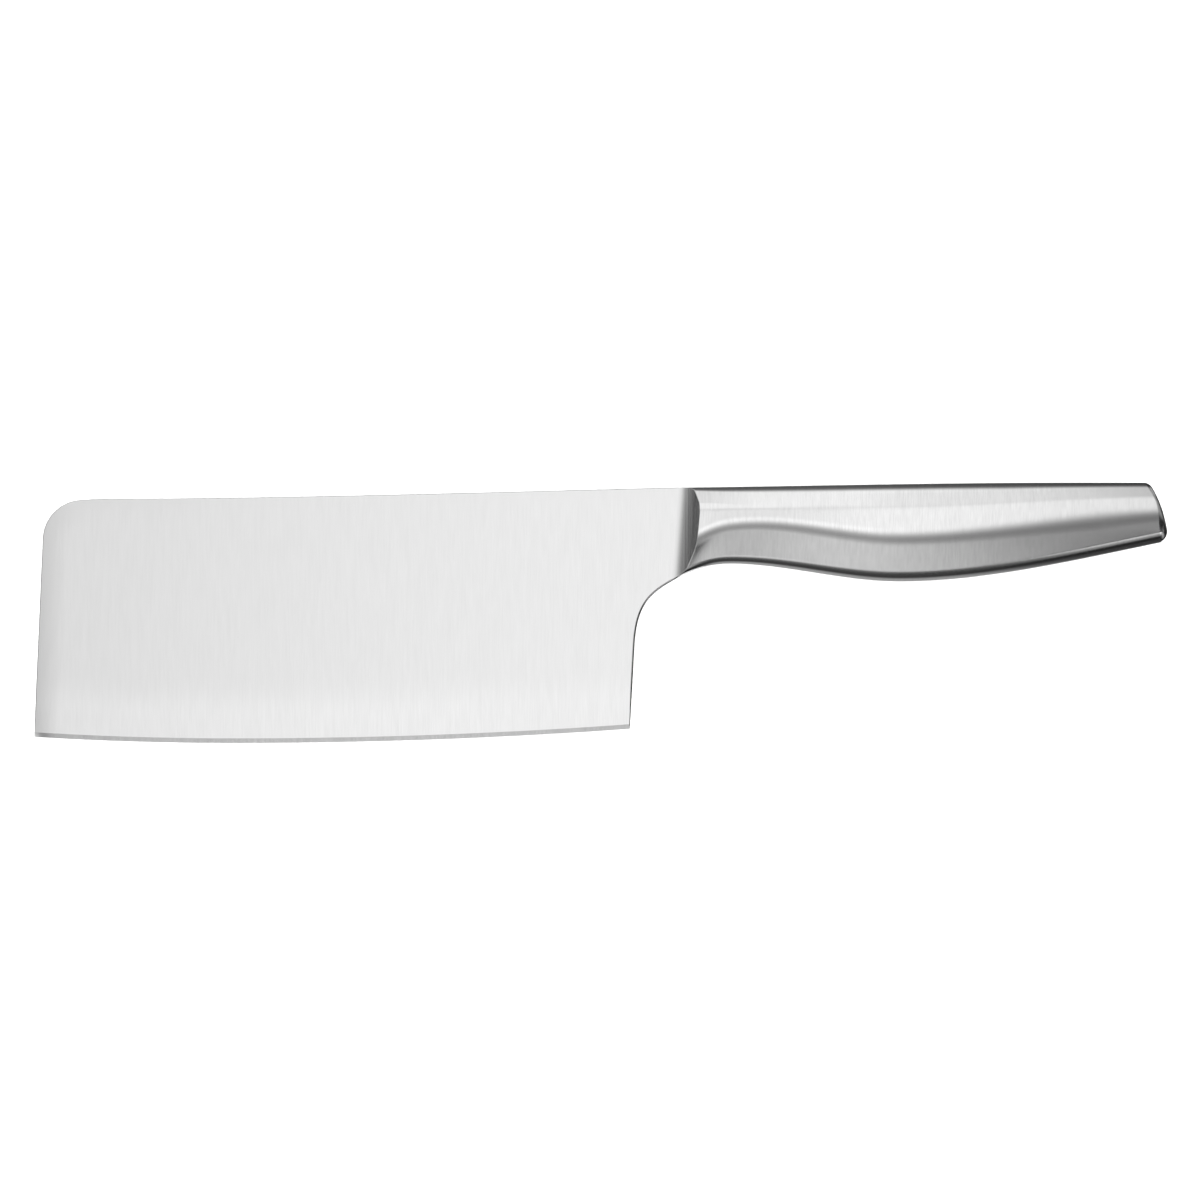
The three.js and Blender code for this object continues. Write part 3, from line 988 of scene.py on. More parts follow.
@dataclass(frozen=True)
class BladeForm:
    """Shape of the blade, in millimetres."""

    handle: HandleForm
    length: float = 164.0
    toe_depth: float = 68.8
    belly_depth: float = 70.4
    belly_from_toe: float = 54.0
    heel_depth: float = 66.4
    spine_drop: float = 3.1
    spine_slope: float = 0.024
    spine_dip: float = 0.36  # how far the spine falls to the upper front corner
    dip_run: float = 8.0  # length over which it falls
    front_lean: float = 2.75  # degrees
    toe_reach: float = 0.5  # how far the toe stands out in front of zero
    front_radius: float = 11.0
    heel_lean: float = 3.2  # degrees
    heel_height: float = 23.0
    heel_pull: float = 12.0
    neck_pull: float = 7.5
    spine_thickness: float = 2.2
    grind_thickness: float = 2.0
    bevel_thicknesses: tuple[float, float] = (0.75, 0.95)  # at the top of the cutting bevel, toe and heel
    edge_thickness: float = 0.12
    grind_height: float = 10.0
    grind_run: float = 10.5  # height of the lower grind above the cutting bevel
    grind_blend: float = 5.5  # half the height over which the face rolls into the lower grind
    bevel_height: float = 1.3
    shoulder_depth: float = 7.0
    tang_length: float = 42.0
    tang_height: float = 12.0
    front_falls: tuple[float, float] = (0.125, 0.22)  # of the face to the front edge, top and toe
    front_fall_width: float = 7.0
    spine_fade: float = 30.0  # length over which that fall dies out along the spine
    eased: float = 0.22  # radius of the eased edges
    choil_eased: float = 0.58  # the same from the heel up to the neck
    sunk: float = 0.06  # the neck lies this far under the bolster's surface

    @property
    def grind_depth(self) -> float:
        """Where the flat face ends."""
        return self.heel_depth - self.grind_height

    @property
    def lean(self) -> float:
        """Lean of the front, in radians."""
        return math.radians(self.front_lean)

    @property
    def dip_angle(self) -> float:
        """Slope of the spine at the upper front corner, in radians."""
        return math.atan(2 * self.spine_dip / self.dip_run)

    @property
    def toe(self) -> tuple[float, float, float]:
        """Lower front corner."""
        return (-self.toe_reach, -self.toe_depth, 0.0)

    @property
    def deepest(self) -> tuple[float, float, float]:
        """Lowest point of the cutting edge."""
        return (self.belly_from_toe, -self.belly_depth, 0.0)

    @property
    def resting_point(self) -> tuple[float, float, float]:
        """Front end of the right face's lower edge, on which the blade rests."""
        height = -self.grind_depth
        return (self.front_at(height), height, -self.grind_thickness / 2)

    @property
    def round_centre(self) -> tuple[float, float]:
        """Centre of the upper front corner's round."""
        height = -self.spine_drop - self.spine_dip - self.front_radius * math.cos(self.dip_angle)
        return (self.front_at(height) + self.front_radius / math.cos(self.lean), height)

    @cached_property
    def edge(self) -> Profile:
        """Height of the cutting edge."""
        fore = self.belly_depth - self.toe_depth
        aft = self.belly_depth - self.heel_depth
        back = self.length - self.belly_from_toe
        return Profile(
            (0.0, -self.toe_depth, -2 * fore / self.belly_from_toe),
            (self.belly_from_toe, -self.belly_depth, 0.0),
            (self.length, -self.heel_depth, 2 * aft / back),
        )

    def front_at(self, height: Array | float) -> Array | float:
        """Where the front lies at a height."""
        return (height + self.toe_depth) * math.tan(self.lean) - self.toe_reach

    def spine(self, steps: int) -> Array:
        """Points of the spine.

        Args:
            steps: Number of stretches.

        Returns:
            The points from the upper front corner back to the handle.
        """
        start = self.round_centre[0] - self.front_radius * math.sin(self.dip_angle)
        end = self.handle.cove_x
        pull = (end - start) / 3
        controls = [
            (start, -self.spine_drop),
            (start + pull, -self.spine_drop),
            (end - pull, -pull * self.spine_slope),
            (end, 0.0),
        ]
        points = bezier(controls, steps)
        near = np.clip(1 - (points[:, 0] - start) / self.dip_run, 0.0, 1.0)
        return points - np.stack([np.zeros_like(near), self.spine_dip * near**2], axis=-1)

    def face_half(self, height: Array | float) -> Array | float:
        """Half the thickness of the flat face at a height."""
        taper = (self.spine_thickness - self.grind_thickness) / self.grind_depth
        return (self.spine_thickness + taper * height) / 2

    def front_distance(self, x: Array, y: Array) -> Array:
        """How far places on the face lie from its front edge, and from the spine behind the corner.

        Args:
            x: Places along the blade.
            y: Their heights.

        Returns:
            The distance of each.
        """
        centre_x, centre_y = self.round_centre
        straight = (x - self.front_at(y)) * math.cos(self.lean)
        rounded = self.front_radius - np.hypot(x - centre_x, y - centre_y)
        above = np.where(x < centre_x, rounded, self.front_radius - (y - centre_y))
        return np.where(y < centre_y, straight, above)

    def half(self, x: Array, y: Array) -> Array:
        """Half the thickness of the blade above its cutting bevel.

        Args:
            x: Places along the blade.
            y: Their heights.

        Returns:
            The height of the left face over the middle of the blade.
        """
        taper = (self.spine_thickness - self.grind_thickness) / 2 / self.grind_depth
        way = np.clip(x, 0.0, self.length)
        bevel_top = self.edge(way) + self.bevel_height
        bevel = np.interp(way, (0.0, self.length), self.bevel_thicknesses)
        fall = (2 * self.face_half(bevel_top + self.grind_run) - bevel) / 2 / self.grind_run
        below = bevel_top + self.grind_run - y
        blended = (np.clip(below, -self.grind_blend, self.grind_blend) + self.grind_blend) ** 2
        ground = blended / (4 * self.grind_blend) + np.maximum(below - self.grind_blend, 0.0)
        away = np.clip(1 - self.front_distance(x, y) / self.front_fall_width, 0.0, 1.0)
        fade = np.clip(1 - (x - self.round_centre[0]) / self.spine_fade, 0.0, 1.0)
        front_fall = np.interp(-y, (0.0, self.toe_depth), self.front_falls)
        return self.face_half(y) - (fall - taper) * ground - front_fall * away**2 * fade

    def bevel_half(self, x: Array, y: Array) -> Array:
        """Half the thickness of the cutting bevel.

        Args:
            x: Places along the blade.
            y: Their heights.

        Returns:
            The height of the bevel's left side over the middle of the blade.
        """
        share = (y - self.edge(x)) / self.bevel_height
        top = self.half(x, self.edge(x) + self.bevel_height)
        return self.edge_thickness / 2 + (top - self.edge_thickness / 2) * share

    def face(self, places: Array, half: Callable[[Array, Array], Array]) -> Patch:
        """Points and normals of the left face.

        Args:
            places: Points in the side view.
            half: Half the thickness at a place.

        Returns:
            The points on the face.
        """
        x, y = places.T
        step = 0.01
        slope_x = (half(x + step, y) - half(x - step, y)) / (2 * step)
        slope_y = (half(x, y + step) - half(x, y - step)) / (2 * step)
        normals = unit(np.stack([-slope_x, -slope_y, np.ones_like(x)], axis=-1))
        return Patch(np.stack([x, y, half(x, y)], axis=-1), normals)


class BladeOutline(NamedTuple):
    """Side view of the blade, from the heel round the tang and the spine to the toe."""

    points: Array
    radius: Array  # of the eased edge at each point
    heel: int  # the point at which the top of the cutting bevel begins
    toe: int  # the point at which it ends


@dataclass
class Blade:
    """The blade: plate, neck and stub tang in one."""

    form: BladeForm
    easing_steps: int = 4
    easing_room: float = 0.56  # most of the half thickness that an eased edge takes
    edge_steps: int = 82
    bevel_steps: int = 3
    heel_steps: int = 8
    choil_steps: int = 44
    neck_steps: int = 5
    spine_steps: int = 60
    corner_steps: int = 24
    front_steps: int = 18
    neck_shown: float = 1.0  # how far behind the handle's start the neck's edges are still eased
    face_columns: Span = (1.0, 182.0, 3.0)  # first, last and spacing of points on a face
    face_rows: Span = (-69.0, 1.0, 1.5)
    face_gap: float = 1.0  # between them and the face's edge
    fringe_depths: tuple[float, ...] = (0.7, 1.5, 2.4, 3.4, 4.5, 5.7, 7.0)  # rows along the front edge
    fringe_points: int = 46  # points of the outline that these rows follow
    fringe_gap: float = 0.3

    def outline(self) -> BladeOutline:
        """Draw the side view.

        Returns:
            Its points with the radius of the eased edges, and the ends of the cutting bevel.
        """
        form, handle = self.form, self.form.handle
        slant = math.tan(math.radians(form.heel_lean))
        heel = (form.length, -form.heel_depth)
        bevel = (form.length + form.bevel_height * slant, form.bevel_height - form.heel_depth)
        choil = (form.length + form.heel_height * slant, form.heel_height - form.heel_depth)
        neck = (handle.cove_x, -handle.cove_depth)
        curve = [
            choil,
            (choil[0] + form.heel_pull * slant, choil[1] + form.heel_pull),
            (neck[0] - form.neck_pull, neck[1] - form.neck_pull * handle.underside_slope),
            neck,
        ]
        shoulder = handle.cove_x + form.shoulder_depth
        under = np.linspace(handle.cove_x, shoulder, self.neck_steps + 1)[1:]
        tang_top = (form.tang_height - handle.throat_depth) / 2
        tang_end = shoulder + form.tang_length
        tang = [
            (shoulder, tang_top - form.tang_height),
            (tang_end, tang_top - form.tang_height),
            (tang_end, tang_top),
            (shoulder, tang_top),
        ]
        over = under[::-1]
        spine = form.spine(self.spine_steps)[::-1]
        centre = np.array(form.round_centre)
        sweep = np.linspace(math.pi / 2 + form.dip_angle, math.pi - form.lean, self.corner_steps + 1)[1:]
        corner = centre + form.front_radius * np.stack([np.cos(sweep), np.sin(sweep)], axis=-1)
        fore_y = form.bevel_height - form.toe_depth
        front = line(corner[-1], (form.front_at(fore_y), fore_y), self.front_steps)
        parts = [
            line(heel, bevel, self.bevel_steps),
            line(bevel, choil, self.heel_steps)[1:],
            bezier(curve, self.choil_steps)[1:],
            np.stack([under, handle.underside(under) + form.sunk], axis=-1),
            np.array(tang),
            np.stack([over, handle.top(over) - form.sunk], axis=-1),
            spine,
            corner,
            front[1:],
            line(front[-1], form.toe[:2], self.bevel_steps)[1:],
        ]
        points = np.concatenate(parts)
        hidden = points[:, 0] > handle.cove_x + self.neck_shown
        bevelled = points[:, 1] < form.edge(np.clip(points[:, 0], 0, form.length)) + form.bevel_height
        room = self.easing_room * np.where(bevelled, form.bevel_half(*points.T), form.half(*points.T))
        rear = (points[:, 0] > form.length) & (points[:, 1] < -handle.cove_depth)
        eased = np.where(rear, form.choil_eased, form.eased)
        radius = np.where(hidden, form.sunk / 3, np.minimum(eased, room))
        return BladeOutline(points, radius, self.bevel_steps, len(points) - 1 - self.bevel_steps)

    def build(self, pose: RestPose) -> Mesh:
        """The blade's mesh.

        Args:
            pose: How the knife lies in the frame.

        Returns:
            The mesh, with the cutting bevel as its second material.
        """
        form = self.form
        outline = self.outline()
        points, radius = outline.points, outline.radius
        ahead = np.roll(points, -1, axis=0) - points
        ahead[-1] = ahead[-2]
        behind = np.roll(ahead, 1, axis=0)
        behind[0] = ahead[0]
        along = unit(unit(ahead) + unit(behind))
        outward = np.stack([along[:, 1], -along[:, 0]], axis=-1)
        turn = np.linspace(0.0, math.pi / 2, self.easing_steps + 1)[:, None]
        places = points - outward * radius[:, None]
        margin = 1e-6  # leaves the line at the bevel's top to the face above
        low = places[:, 1] < form.edge(np.clip(places[:, 0], 0, form.length)) + form.bevel_height - margin
        tops = form.face(places, form.half)
        bevels = form.face(places, form.bevel_half)
        face = Patch(*(np.where(low[:, None], b, t) for b, t in zip(bevels, tops)))
        flat = np.concatenate([outward, np.zeros((len(points), 1))], axis=-1)
        shift = flat * np.cos(turn)[..., None] * radius[:, None]
        drop = LEFT * (np.sin(turn) - 1)[..., None] * radius[:, None]
        normals = unit(flat * np.cos(turn)[..., None] + face.normals * np.sin(turn)[..., None])
        easing = Patch((face.points + shift + drop).swapaxes(0, 1), normals.swapaxes(0, 1))
        skin = Skin()
        rim = Patch(
            np.stack([easing.points[:, 0], flipped(easing).points[:, 0]], axis=1),
            np.stack([flat, flat], axis=1),
        )
        skin.grid(rim)
        skin.pair(easing)
        self.sides(skin, places, outline)
        self.land(skin, easing, places)
        made = skin.mesh("blade", pose)
        made.materials.append(SATIN.material())
        made.materials.append(EDGE_GRIND.material())
        return made

    def sides(self, skin: Skin, places: Array, outline: BladeOutline) -> None:
        """Fill both faces of the blade, with a crisp line at the top of the cutting bevel.

        Args:
            skin: The blade's surface.
            places: Inner side of the eased edges.
            outline: The side view that they belong to.
        """
        form, heel, toe = self.form, outline.heel, outline.toe
        x = np.linspace(places[-1, 0], places[0, 0], self.edge_steps + 1)[1:-1]
        edge = np.stack([x, form.edge(x)], axis=-1)
        x = np.linspace(places[toe, 0], places[heel, 0], self.edge_steps + 1)[1:-1]
        bevel = np.stack([x, form.edge(x) + form.bevel_height], axis=-1)
        lower = np.concatenate([places[: heel + 1], bevel[::-1], places[toe:], edge])
        upper = np.concatenate([places[heel : toe + 1], bevel])
        spread = lattice(np.arange(*self.face_columns), np.arange(*self.face_rows))
        spread = spread[clear(spread, upper, self.face_gap)]
        spread = spread[form.front_distance(*spread.T) > form.front_fall_width]
        fore = places[toe - self.fringe_points : toe]
        heading = unit(np.gradient(fore, axis=0))
        inward = np.stack([-heading[:, 1], heading[:, 0]], axis=-1)
        fringe = (fore + inward * np.array(self.fringe_depths)[:, None, None]).reshape(-1, 2)
        fringe = fringe[clear(fringe, upper, self.fringe_gap)]
        fillings = (
            (upper, np.concatenate([spread, fringe]), form.half),
            (lower, np.empty((0, 2)), form.bevel_half),
        )
        for finish, (border, inner, half) in enumerate(fillings):
            points, faces = filled(border, inner)
            patch = form.face(points, half)
            for side in (patch, flipped(patch)):
                skin.fill(side, points, faces, finish)

    def land(self, skin: Skin, easing: Patch, places: Array) -> None:
        """Close the narrow land along the cutting edge, and the ends of the eased edges beside it.

        Args:
            skin: The blade's surface.
            easing: The eased edges of the left side.
            places: Their inner side.
        """
        form = self.form
        x = np.linspace(places[-1, 0], places[0, 0], self.edge_steps + 1)
        y = form.edge(x)
        y[0], y[-1] = places[-1, 1], places[0, 1]
        half = form.bevel_half(x, y)
        left = np.stack([x, y, half], axis=-1)
        down = np.broadcast_to(DOWN, left.shape)
        skin.grid(Patch(np.stack([left, left * MIRROR], axis=1), np.stack([down, down], axis=1)))
        mirror = flipped(easing)
        for end in (0, -1):
            ring = np.concatenate([easing.points[end], mirror.points[end][::-1], easing.points[end][:1]])
            skin.lid(ring, DOWN)


@dataclass
class Bolster:
    """The solid front of the handle, with a cove ground into both sides and a spigot for the shells."""

    form: HandleForm
    blade: BladeForm
    cove_radius: float = 6.0
    cove_setback: float = 1.0  # of the arc's start behind the handle's
    cove_lean: float = 4.4  # degrees
    lead: float = 2.4  # length over which the blade's face rises into the cove
    lead_slope: float = 0.25  # slope that it reaches there
    feather: float = 0.0015  # height of that rise's front edge over the blade's face
    rim: float = 0.22  # width of the eased rim on each side of the crease
    rim_share: float = 0.4  # most of the cove's length that the rim takes
    rim_steps: int = 4
    stations: int = 26
    crowding: float = 1.3  # how far the stations crowd towards the front
    narrow: tuple[float, ...] = (0.0, 0.25, 0.5, 0.8)  # half widths of the lines inside the blade
    side_lines: int = 10  # lines from there to the round of the top or the keel
    start_steps: int = 24
    cove_spacing: tuple[float, float] = (0.4, 0.8)  # of points on the cove, behind its start and along it
    cove_margin: float = 0.3  # of the first points behind its start
    cove_gap: float = 0.25  # between the points and the cove's edge

    @property
    def lean(self) -> float:
        """Lean of the cove, in radians."""
        return math.radians(self.cove_lean)

    @property
    def cove_x(self) -> float:
        """Where the cove's arc starts, half way down the handle."""
        return self.form.cove_x + self.cove_setback

    def rows(self) -> tuple[list[Row], slice]:
        """Lines along the left half of the bolster, from the top down.

        Returns:
            The lines, and which of them end at the cove.
        """
        above = self.blade.face_half(0.0) + self.feather
        below = self.blade.face_half(-self.form.cove_depth) + self.feather
        parts = np.linspace(0.0, 1.0, self.side_lines + 1)[:-1] ** 2
        top = [Row(Corner.CROWN, across=width) for width in self.narrow]
        top += [Row(Corner.CROWN, across=above, part=part) for part in parts]
        keel = [Row(Corner.KEEL, across=below, part=part) for part in (*parts, 1.0)][::-1]
        keel += [Row(Corner.KEEL, across=width) for width in self.narrow[::-1]]
        rows = top + SIDE_ROWS + keel
        return rows, slice(len(self.narrow), len(rows) - len(self.narrow))

    def cove_place(self, x: Array, y: Array) -> tuple[Array, Array]:
        """Where places in the side view lie from the cove's leaning start.

        Args:
            x: Places along the handle.
            y: Their heights.

        Returns:
            The distance behind the start, and the way along it.
        """
        rise = y + self.form.cove_depth / 2
        way = x - self.cove_x
        cos, sin = math.cos(self.lean), math.sin(self.lean)
        return way * cos - rise * sin, way * sin + rise * cos

    @property
    def arc_start(self) -> float:
        """Distance from the bottom of the cove's arc at which the arc takes over from the lead."""
        return self.cove_radius * math.sin(math.atan(self.lead_slope))

    def rise(self, behind: Array) -> tuple[Array, Array]:
        """Height and slope of the cove over the blade's face.

        Args:
            behind: Distances behind the arc's start.

        Returns:
            The height and the slope at each.
        """
        least = 1e-9  # keeps the root real past the arc's end
        before = np.clip(behind + self.lead, 0.0, self.lead)
        after = np.maximum(behind, 0.0) + self.arc_start
        depth = np.sqrt(np.maximum(self.cove_radius**2 - after**2, least))
        height = before**3 * self.lead_slope / (3 * self.lead**2)
        height = height + math.sqrt(self.cove_radius**2 - self.arc_start**2) - depth
        return height, np.where(behind < 0, (before / self.lead) ** 2 * self.lead_slope, after / depth)

    def cove(self, behind: Array, along: Array) -> Patch:
        """Points and normals of the left cove.

        Args:
            behind: Distances behind its leaning start.
            along: Ways along it.

        Returns:
            The points on the cove.
        """
        cos, sin = math.cos(self.lean), math.sin(self.lean)
        x = self.cove_x + behind * cos + along * sin
        y = along * cos - behind * sin - self.form.cove_depth / 2
        height, slope = self.rise(behind)
        normals = np.stack([-slope * cos, slope * sin, np.ones_like(slope)], axis=-1)
        return Patch(np.stack([x, y, self.blade.face_half(y) + height], axis=-1), unit(normals))

    def crease(self, rows: Sequence[Row], coved: slice) -> Array:
        """Where each row of the handle's surface ends at the front.

        Args:
            rows: Lines along the left half.
            coved: Which of them end at the cove.

        Returns:
            X of the crease with the cove, or of the cove's start beside it.
        """
        start = np.full(len(rows), self.form.cove_x)
        feather = math.cbrt(3 * self.lead**2 / self.lead_slope * self.feather) - self.lead
        for _ in range(SETTLING_ROUNDS):
            height = self.form.section(start, rows)[1]
            slant = (height + self.form.cove_depth / 2) * math.tan(self.lean)
            start = self.cove_x + slant + feather / math.cos(self.lean)
        near, far = start.copy(), start + self.lead + self.cove_radius
        for _ in range(HALVINGS):
            x = (near + far) / 2
            width, height, _ = self.form.section(x, rows)
            cut = self.blade.face_half(height) + self.rise(self.cove_place(x, height)[0])[0]
            near, far = np.where(width > cut, x, near), np.where(width > cut, far, x)
        start[coved] = far[coved]
        return start

    def build(self, pose: RestPose) -> Mesh:
        """The bolster's mesh.

        Args:
            pose: How the knife lies in the frame.

        Returns:
            The mesh, with the coves' finish as its second material.
        """
        rows, coved = self.rows()
        crease = self.crease(rows, coved)
        front = self.form.surface(crease, rows)
        behind, along = self.cove_place(*front.points[:, :2].T)
        rim = np.zeros(len(rows))
        rim[coved] = np.minimum(self.rim, self.rim_share * (behind[coved] - behind[coved].min()))
        way = np.linspace(0.0, 1.0, self.stations)[:, None] ** self.crowding
        start = crease + rim
        x = start + (self.form.joint_x - start) * way
        skin = Skin()
        outer = self.form.surface(x, rows)
        skin.pair(outer)
        start_line = self.cove_sides(skin, front, outer, np.stack([behind - rim, along], axis=-1), coved)
        self.mouth(skin, outer, start_line, coved)
        self.spigot(skin, rows)
        made = skin.mesh("bolster", pose)
        made.materials.append(HANDLE_BRUSH.material())
        made.materials.append(COVE_GRIND.material())
        return made

    def cove_sides(self, skin: Skin, front: Patch, outer: Patch, ends: Array, coved: slice) -> Array:
        """Add both coves and the eased rims between them and the handle's surface.

        Args:
            skin: The bolster's surface.
            front: The crease.
            outer: The handle's surface behind it.
            ends: Where the cove ends at each row, behind its start and along it.
            coved: Which rows end at the cove.

        Returns:
            Points of the left cove's front edge, from the top down.
        """
        flat = ends[coved]
        edge = self.cove(*flat.T)
        crest = Patch(front.points[coved], front.normals[coved])
        start = Patch(outer.points[0, coved], outer.normals[0, coved])
        share = np.linspace(0.0, 1.0, self.rim_steps + 1)[:, None, None]
        points = start.points * (1 - share) ** 2 + 2 * crest.points * share * (1 - share)
        points = points + edge.points * share**2
        normals = unit(start.normals * (1 - share) + edge.normals * share)
        points[0], points[-1] = start.points, edge.points
        skin.pair(Patch(points, normals))
        back = line(flat[-1], flat[0], self.start_steps)[1:-1]
        outline = np.concatenate([flat, back])
        low, high = flat.min(0), flat.max(0)
        behind = np.arange(low[0] + self.cove_margin, high[0], self.cove_spacing[0])
        spread = lattice(behind, np.arange(low[1], high[1], self.cove_spacing[1]))
        spread = spread[clear(spread, outline, self.cove_gap)]
        places, faces = filled(outline, spread)
        patch = self.cove(*places.T)
        for side in (patch, flipped(patch)):
            skin.fill(side, places, faces, 1)
        return self.cove(*np.concatenate([flat[:1], back[::-1], flat[-1:]]).T).points

    def mouth(self, skin: Skin, outer: Patch, start_line: Array, coved: slice) -> None:
        """Close the bolster inside the blade, between the starts of the two coves.

        Args:
            skin: The bolster's surface.
            outer: The handle's surface.
            start_line: Front edge of the left cove, from the top down.
            coved: Which rows end at the cove.
        """
        top = outer.points[0, : coved.start + 1][::-1]
        foot = outer.points[0, coved.stop - 1 :]
        share = np.linspace(0.0, 1.0, len(start_line))[:, None, None]
        points = top * (1 - share) + foot * share
        points[:, 0] = start_line
        normals = np.broadcast_to(FORWARD, points.shape)
        skin.pair(Patch(points, normals))

    def spigot(self, skin: Skin, rows: Sequence[Row]) -> None:
        """Close the back of the bolster and add the spigot that the shells sit on.

        Args:
            skin: The bolster's surface.
            rows: Lines along the left half.
        """
        form = self.form
        ring = list(rows) + mirrored(rows) + [rows[0]]
        end = form.shell_x + form.spigot_length
        inset = form.wall + FIT
        joint = np.full(len(ring), form.joint_x)
        outer = form.surface(joint, ring).points
        inner = form.surface(joint, ring, inset).points
        back = np.broadcast_to(-FORWARD, (2, len(ring), 3))
        skin.grid(Patch(np.stack([outer, inner]), back))
        sleeve = form.surface(np.stack([joint, np.full(len(ring), end)]), ring, inset)
        skin.grid(sleeve)
        skin.lid(sleeve.points[-1], back[0, 0])


class PieceTree:
    """Geometry Nodes that make a piece from a starting mesh, with named inputs."""

    def __init__(self, name: str, *numbers: str) -> None:
        """Start the tree.

        Args:
            name: Of the tree.
            numbers: Names of its inputs besides the mesh and the finish.
        """
        self.tree = bpy.data.node_groups.new(name, "GeometryNodeTree")
        face = self.tree.interface
        face.new_socket("Start", in_out="INPUT", socket_type="NodeSocketGeometry")
        kinds = dict.fromkeys(numbers, "NodeSocketFloat") | {"Finish": "NodeSocketMaterial"}
        self.inputs: dict[str, str] = {}
        for label, kind in kinds.items():
            self.inputs[label] = face.new_socket(label, in_out="INPUT", socket_type=kind).identifier
        face.new_socket("Piece", in_out="OUTPUT", socket_type="NodeSocketGeometry")
        self.graph = Graph(self.tree)
        self.given = self.graph.node("NodeGroupInput").outputs

    def end(self, geometry: Socket) -> None:
        """End the tree with real geometry that has the finish."""
        real = self.graph.node("GeometryNodeRealizeInstances", {"Geometry": geometry})
        dressed = self.graph.node(
            "GeometryNodeSetMaterial", {"Geometry": real.outputs[0], "Material": self.given["Finish"]}
        )
        self.graph.node("NodeGroupOutput", {"Piece": dressed.outputs[0]})

    def make(self, start: Mesh, values: dict[str, object]) -> Mesh:
        """What the tree makes of a mesh.

        Args:
            start: The starting mesh.
            values: The tree's other inputs, by name.

        Returns:
            A plain mesh.
        """
        helper = bpy.data.objects.new(start.name, start)
        bpy.context.scene.collection.objects.link(helper)
        modifier = helper.modifiers.new(self.tree.name, "NODES")
        modifier.node_group = self.tree
        for label, value in values.items():
            modifier[self.inputs[label]] = value
        graph = bpy.context.evaluated_depsgraph_get()
        made = bpy.data.meshes.new_from_object(
            helper.evaluated_get(graph), preserve_all_data_layers=True, depsgraph=graph
        )
        helper.modifiers.remove(modifier)
        bpy.data.objects.remove(helper)
        return made


class WallTree(PieceTree):
    """Geometry Nodes that give a skin an even wall on its inner side."""

    def __init__(self) -> None:
        """Build the tree, with the wall's thickness as its input."""
        super().__init__("wall_from_skin", "Wall")
        graph, skin = self.graph, self.given["Start"]
        out = graph.node("GeometryNodeInputNamedAttribute", {"Name": "out"}, data_type="FLOAT_VECTOR")
        depth = graph.math("MULTIPLY", self.given["Wall"], -1.0)
        inward = graph.node("ShaderNodeVectorMath", {0: out.outputs[0], "Scale": depth}, operation="SCALE")
        marked = graph.node(
            "GeometryNodeStoreNamedAttribute",
            {"Geometry": skin, "Name": "outer", "Value": True},
            data_type="BOOLEAN",
            domain="FACE",
        )
        pushed = graph.node(
            "GeometryNodeExtrudeMesh",
            {"Mesh": skin, "Offset": inward.outputs[0], "Offset Scale": 1.0, "Individual": False},
            mode="FACES",
        )
        turned = graph.node("GeometryNodeFlipFaces", {"Mesh": pushed.outputs["Mesh"]})
        joined = graph.node("GeometryNodeJoinGeometry")
        for part in (turned, marked):
            graph.put(joined.inputs[0], part.outputs[0])
        welded = graph.node(
            "GeometryNodeMergeByDistance", {"Geometry": joined.outputs[0], "Distance": TOUCHING}
        )
        self.end(welded.outputs[0])

    def apply(self, skin: Mesh, wall: float, finish: Material) -> Mesh:
        """A walled piece as a plain mesh.

        Args:
            skin: The outer surface, with its outward direction at each corner.
            wall: Thickness in metres.
            finish: The piece's material.

        Returns:
            The mesh, with the skin's own normals on its outer side.
        """
        made = self.make(skin, {"Wall": wall, "Finish": finish})
        outer = np.zeros(len(made.polygons), dtype=bool)
        made.attributes["outer"].data.foreach_get("value", outer)
        out = np.zeros(3 * len(made.loops))
        made.attributes["out"].data.foreach_get("vector", out)
        counts = np.array([polygon.loop_total for polygon in made.polygons])
        flat = np.repeat(np.array([polygon.normal for polygon in made.polygons]), counts, axis=0)
        set_normals(made, np.where(np.repeat(outer, counts)[:, None], out.reshape(-1, 3), flat))
        return made


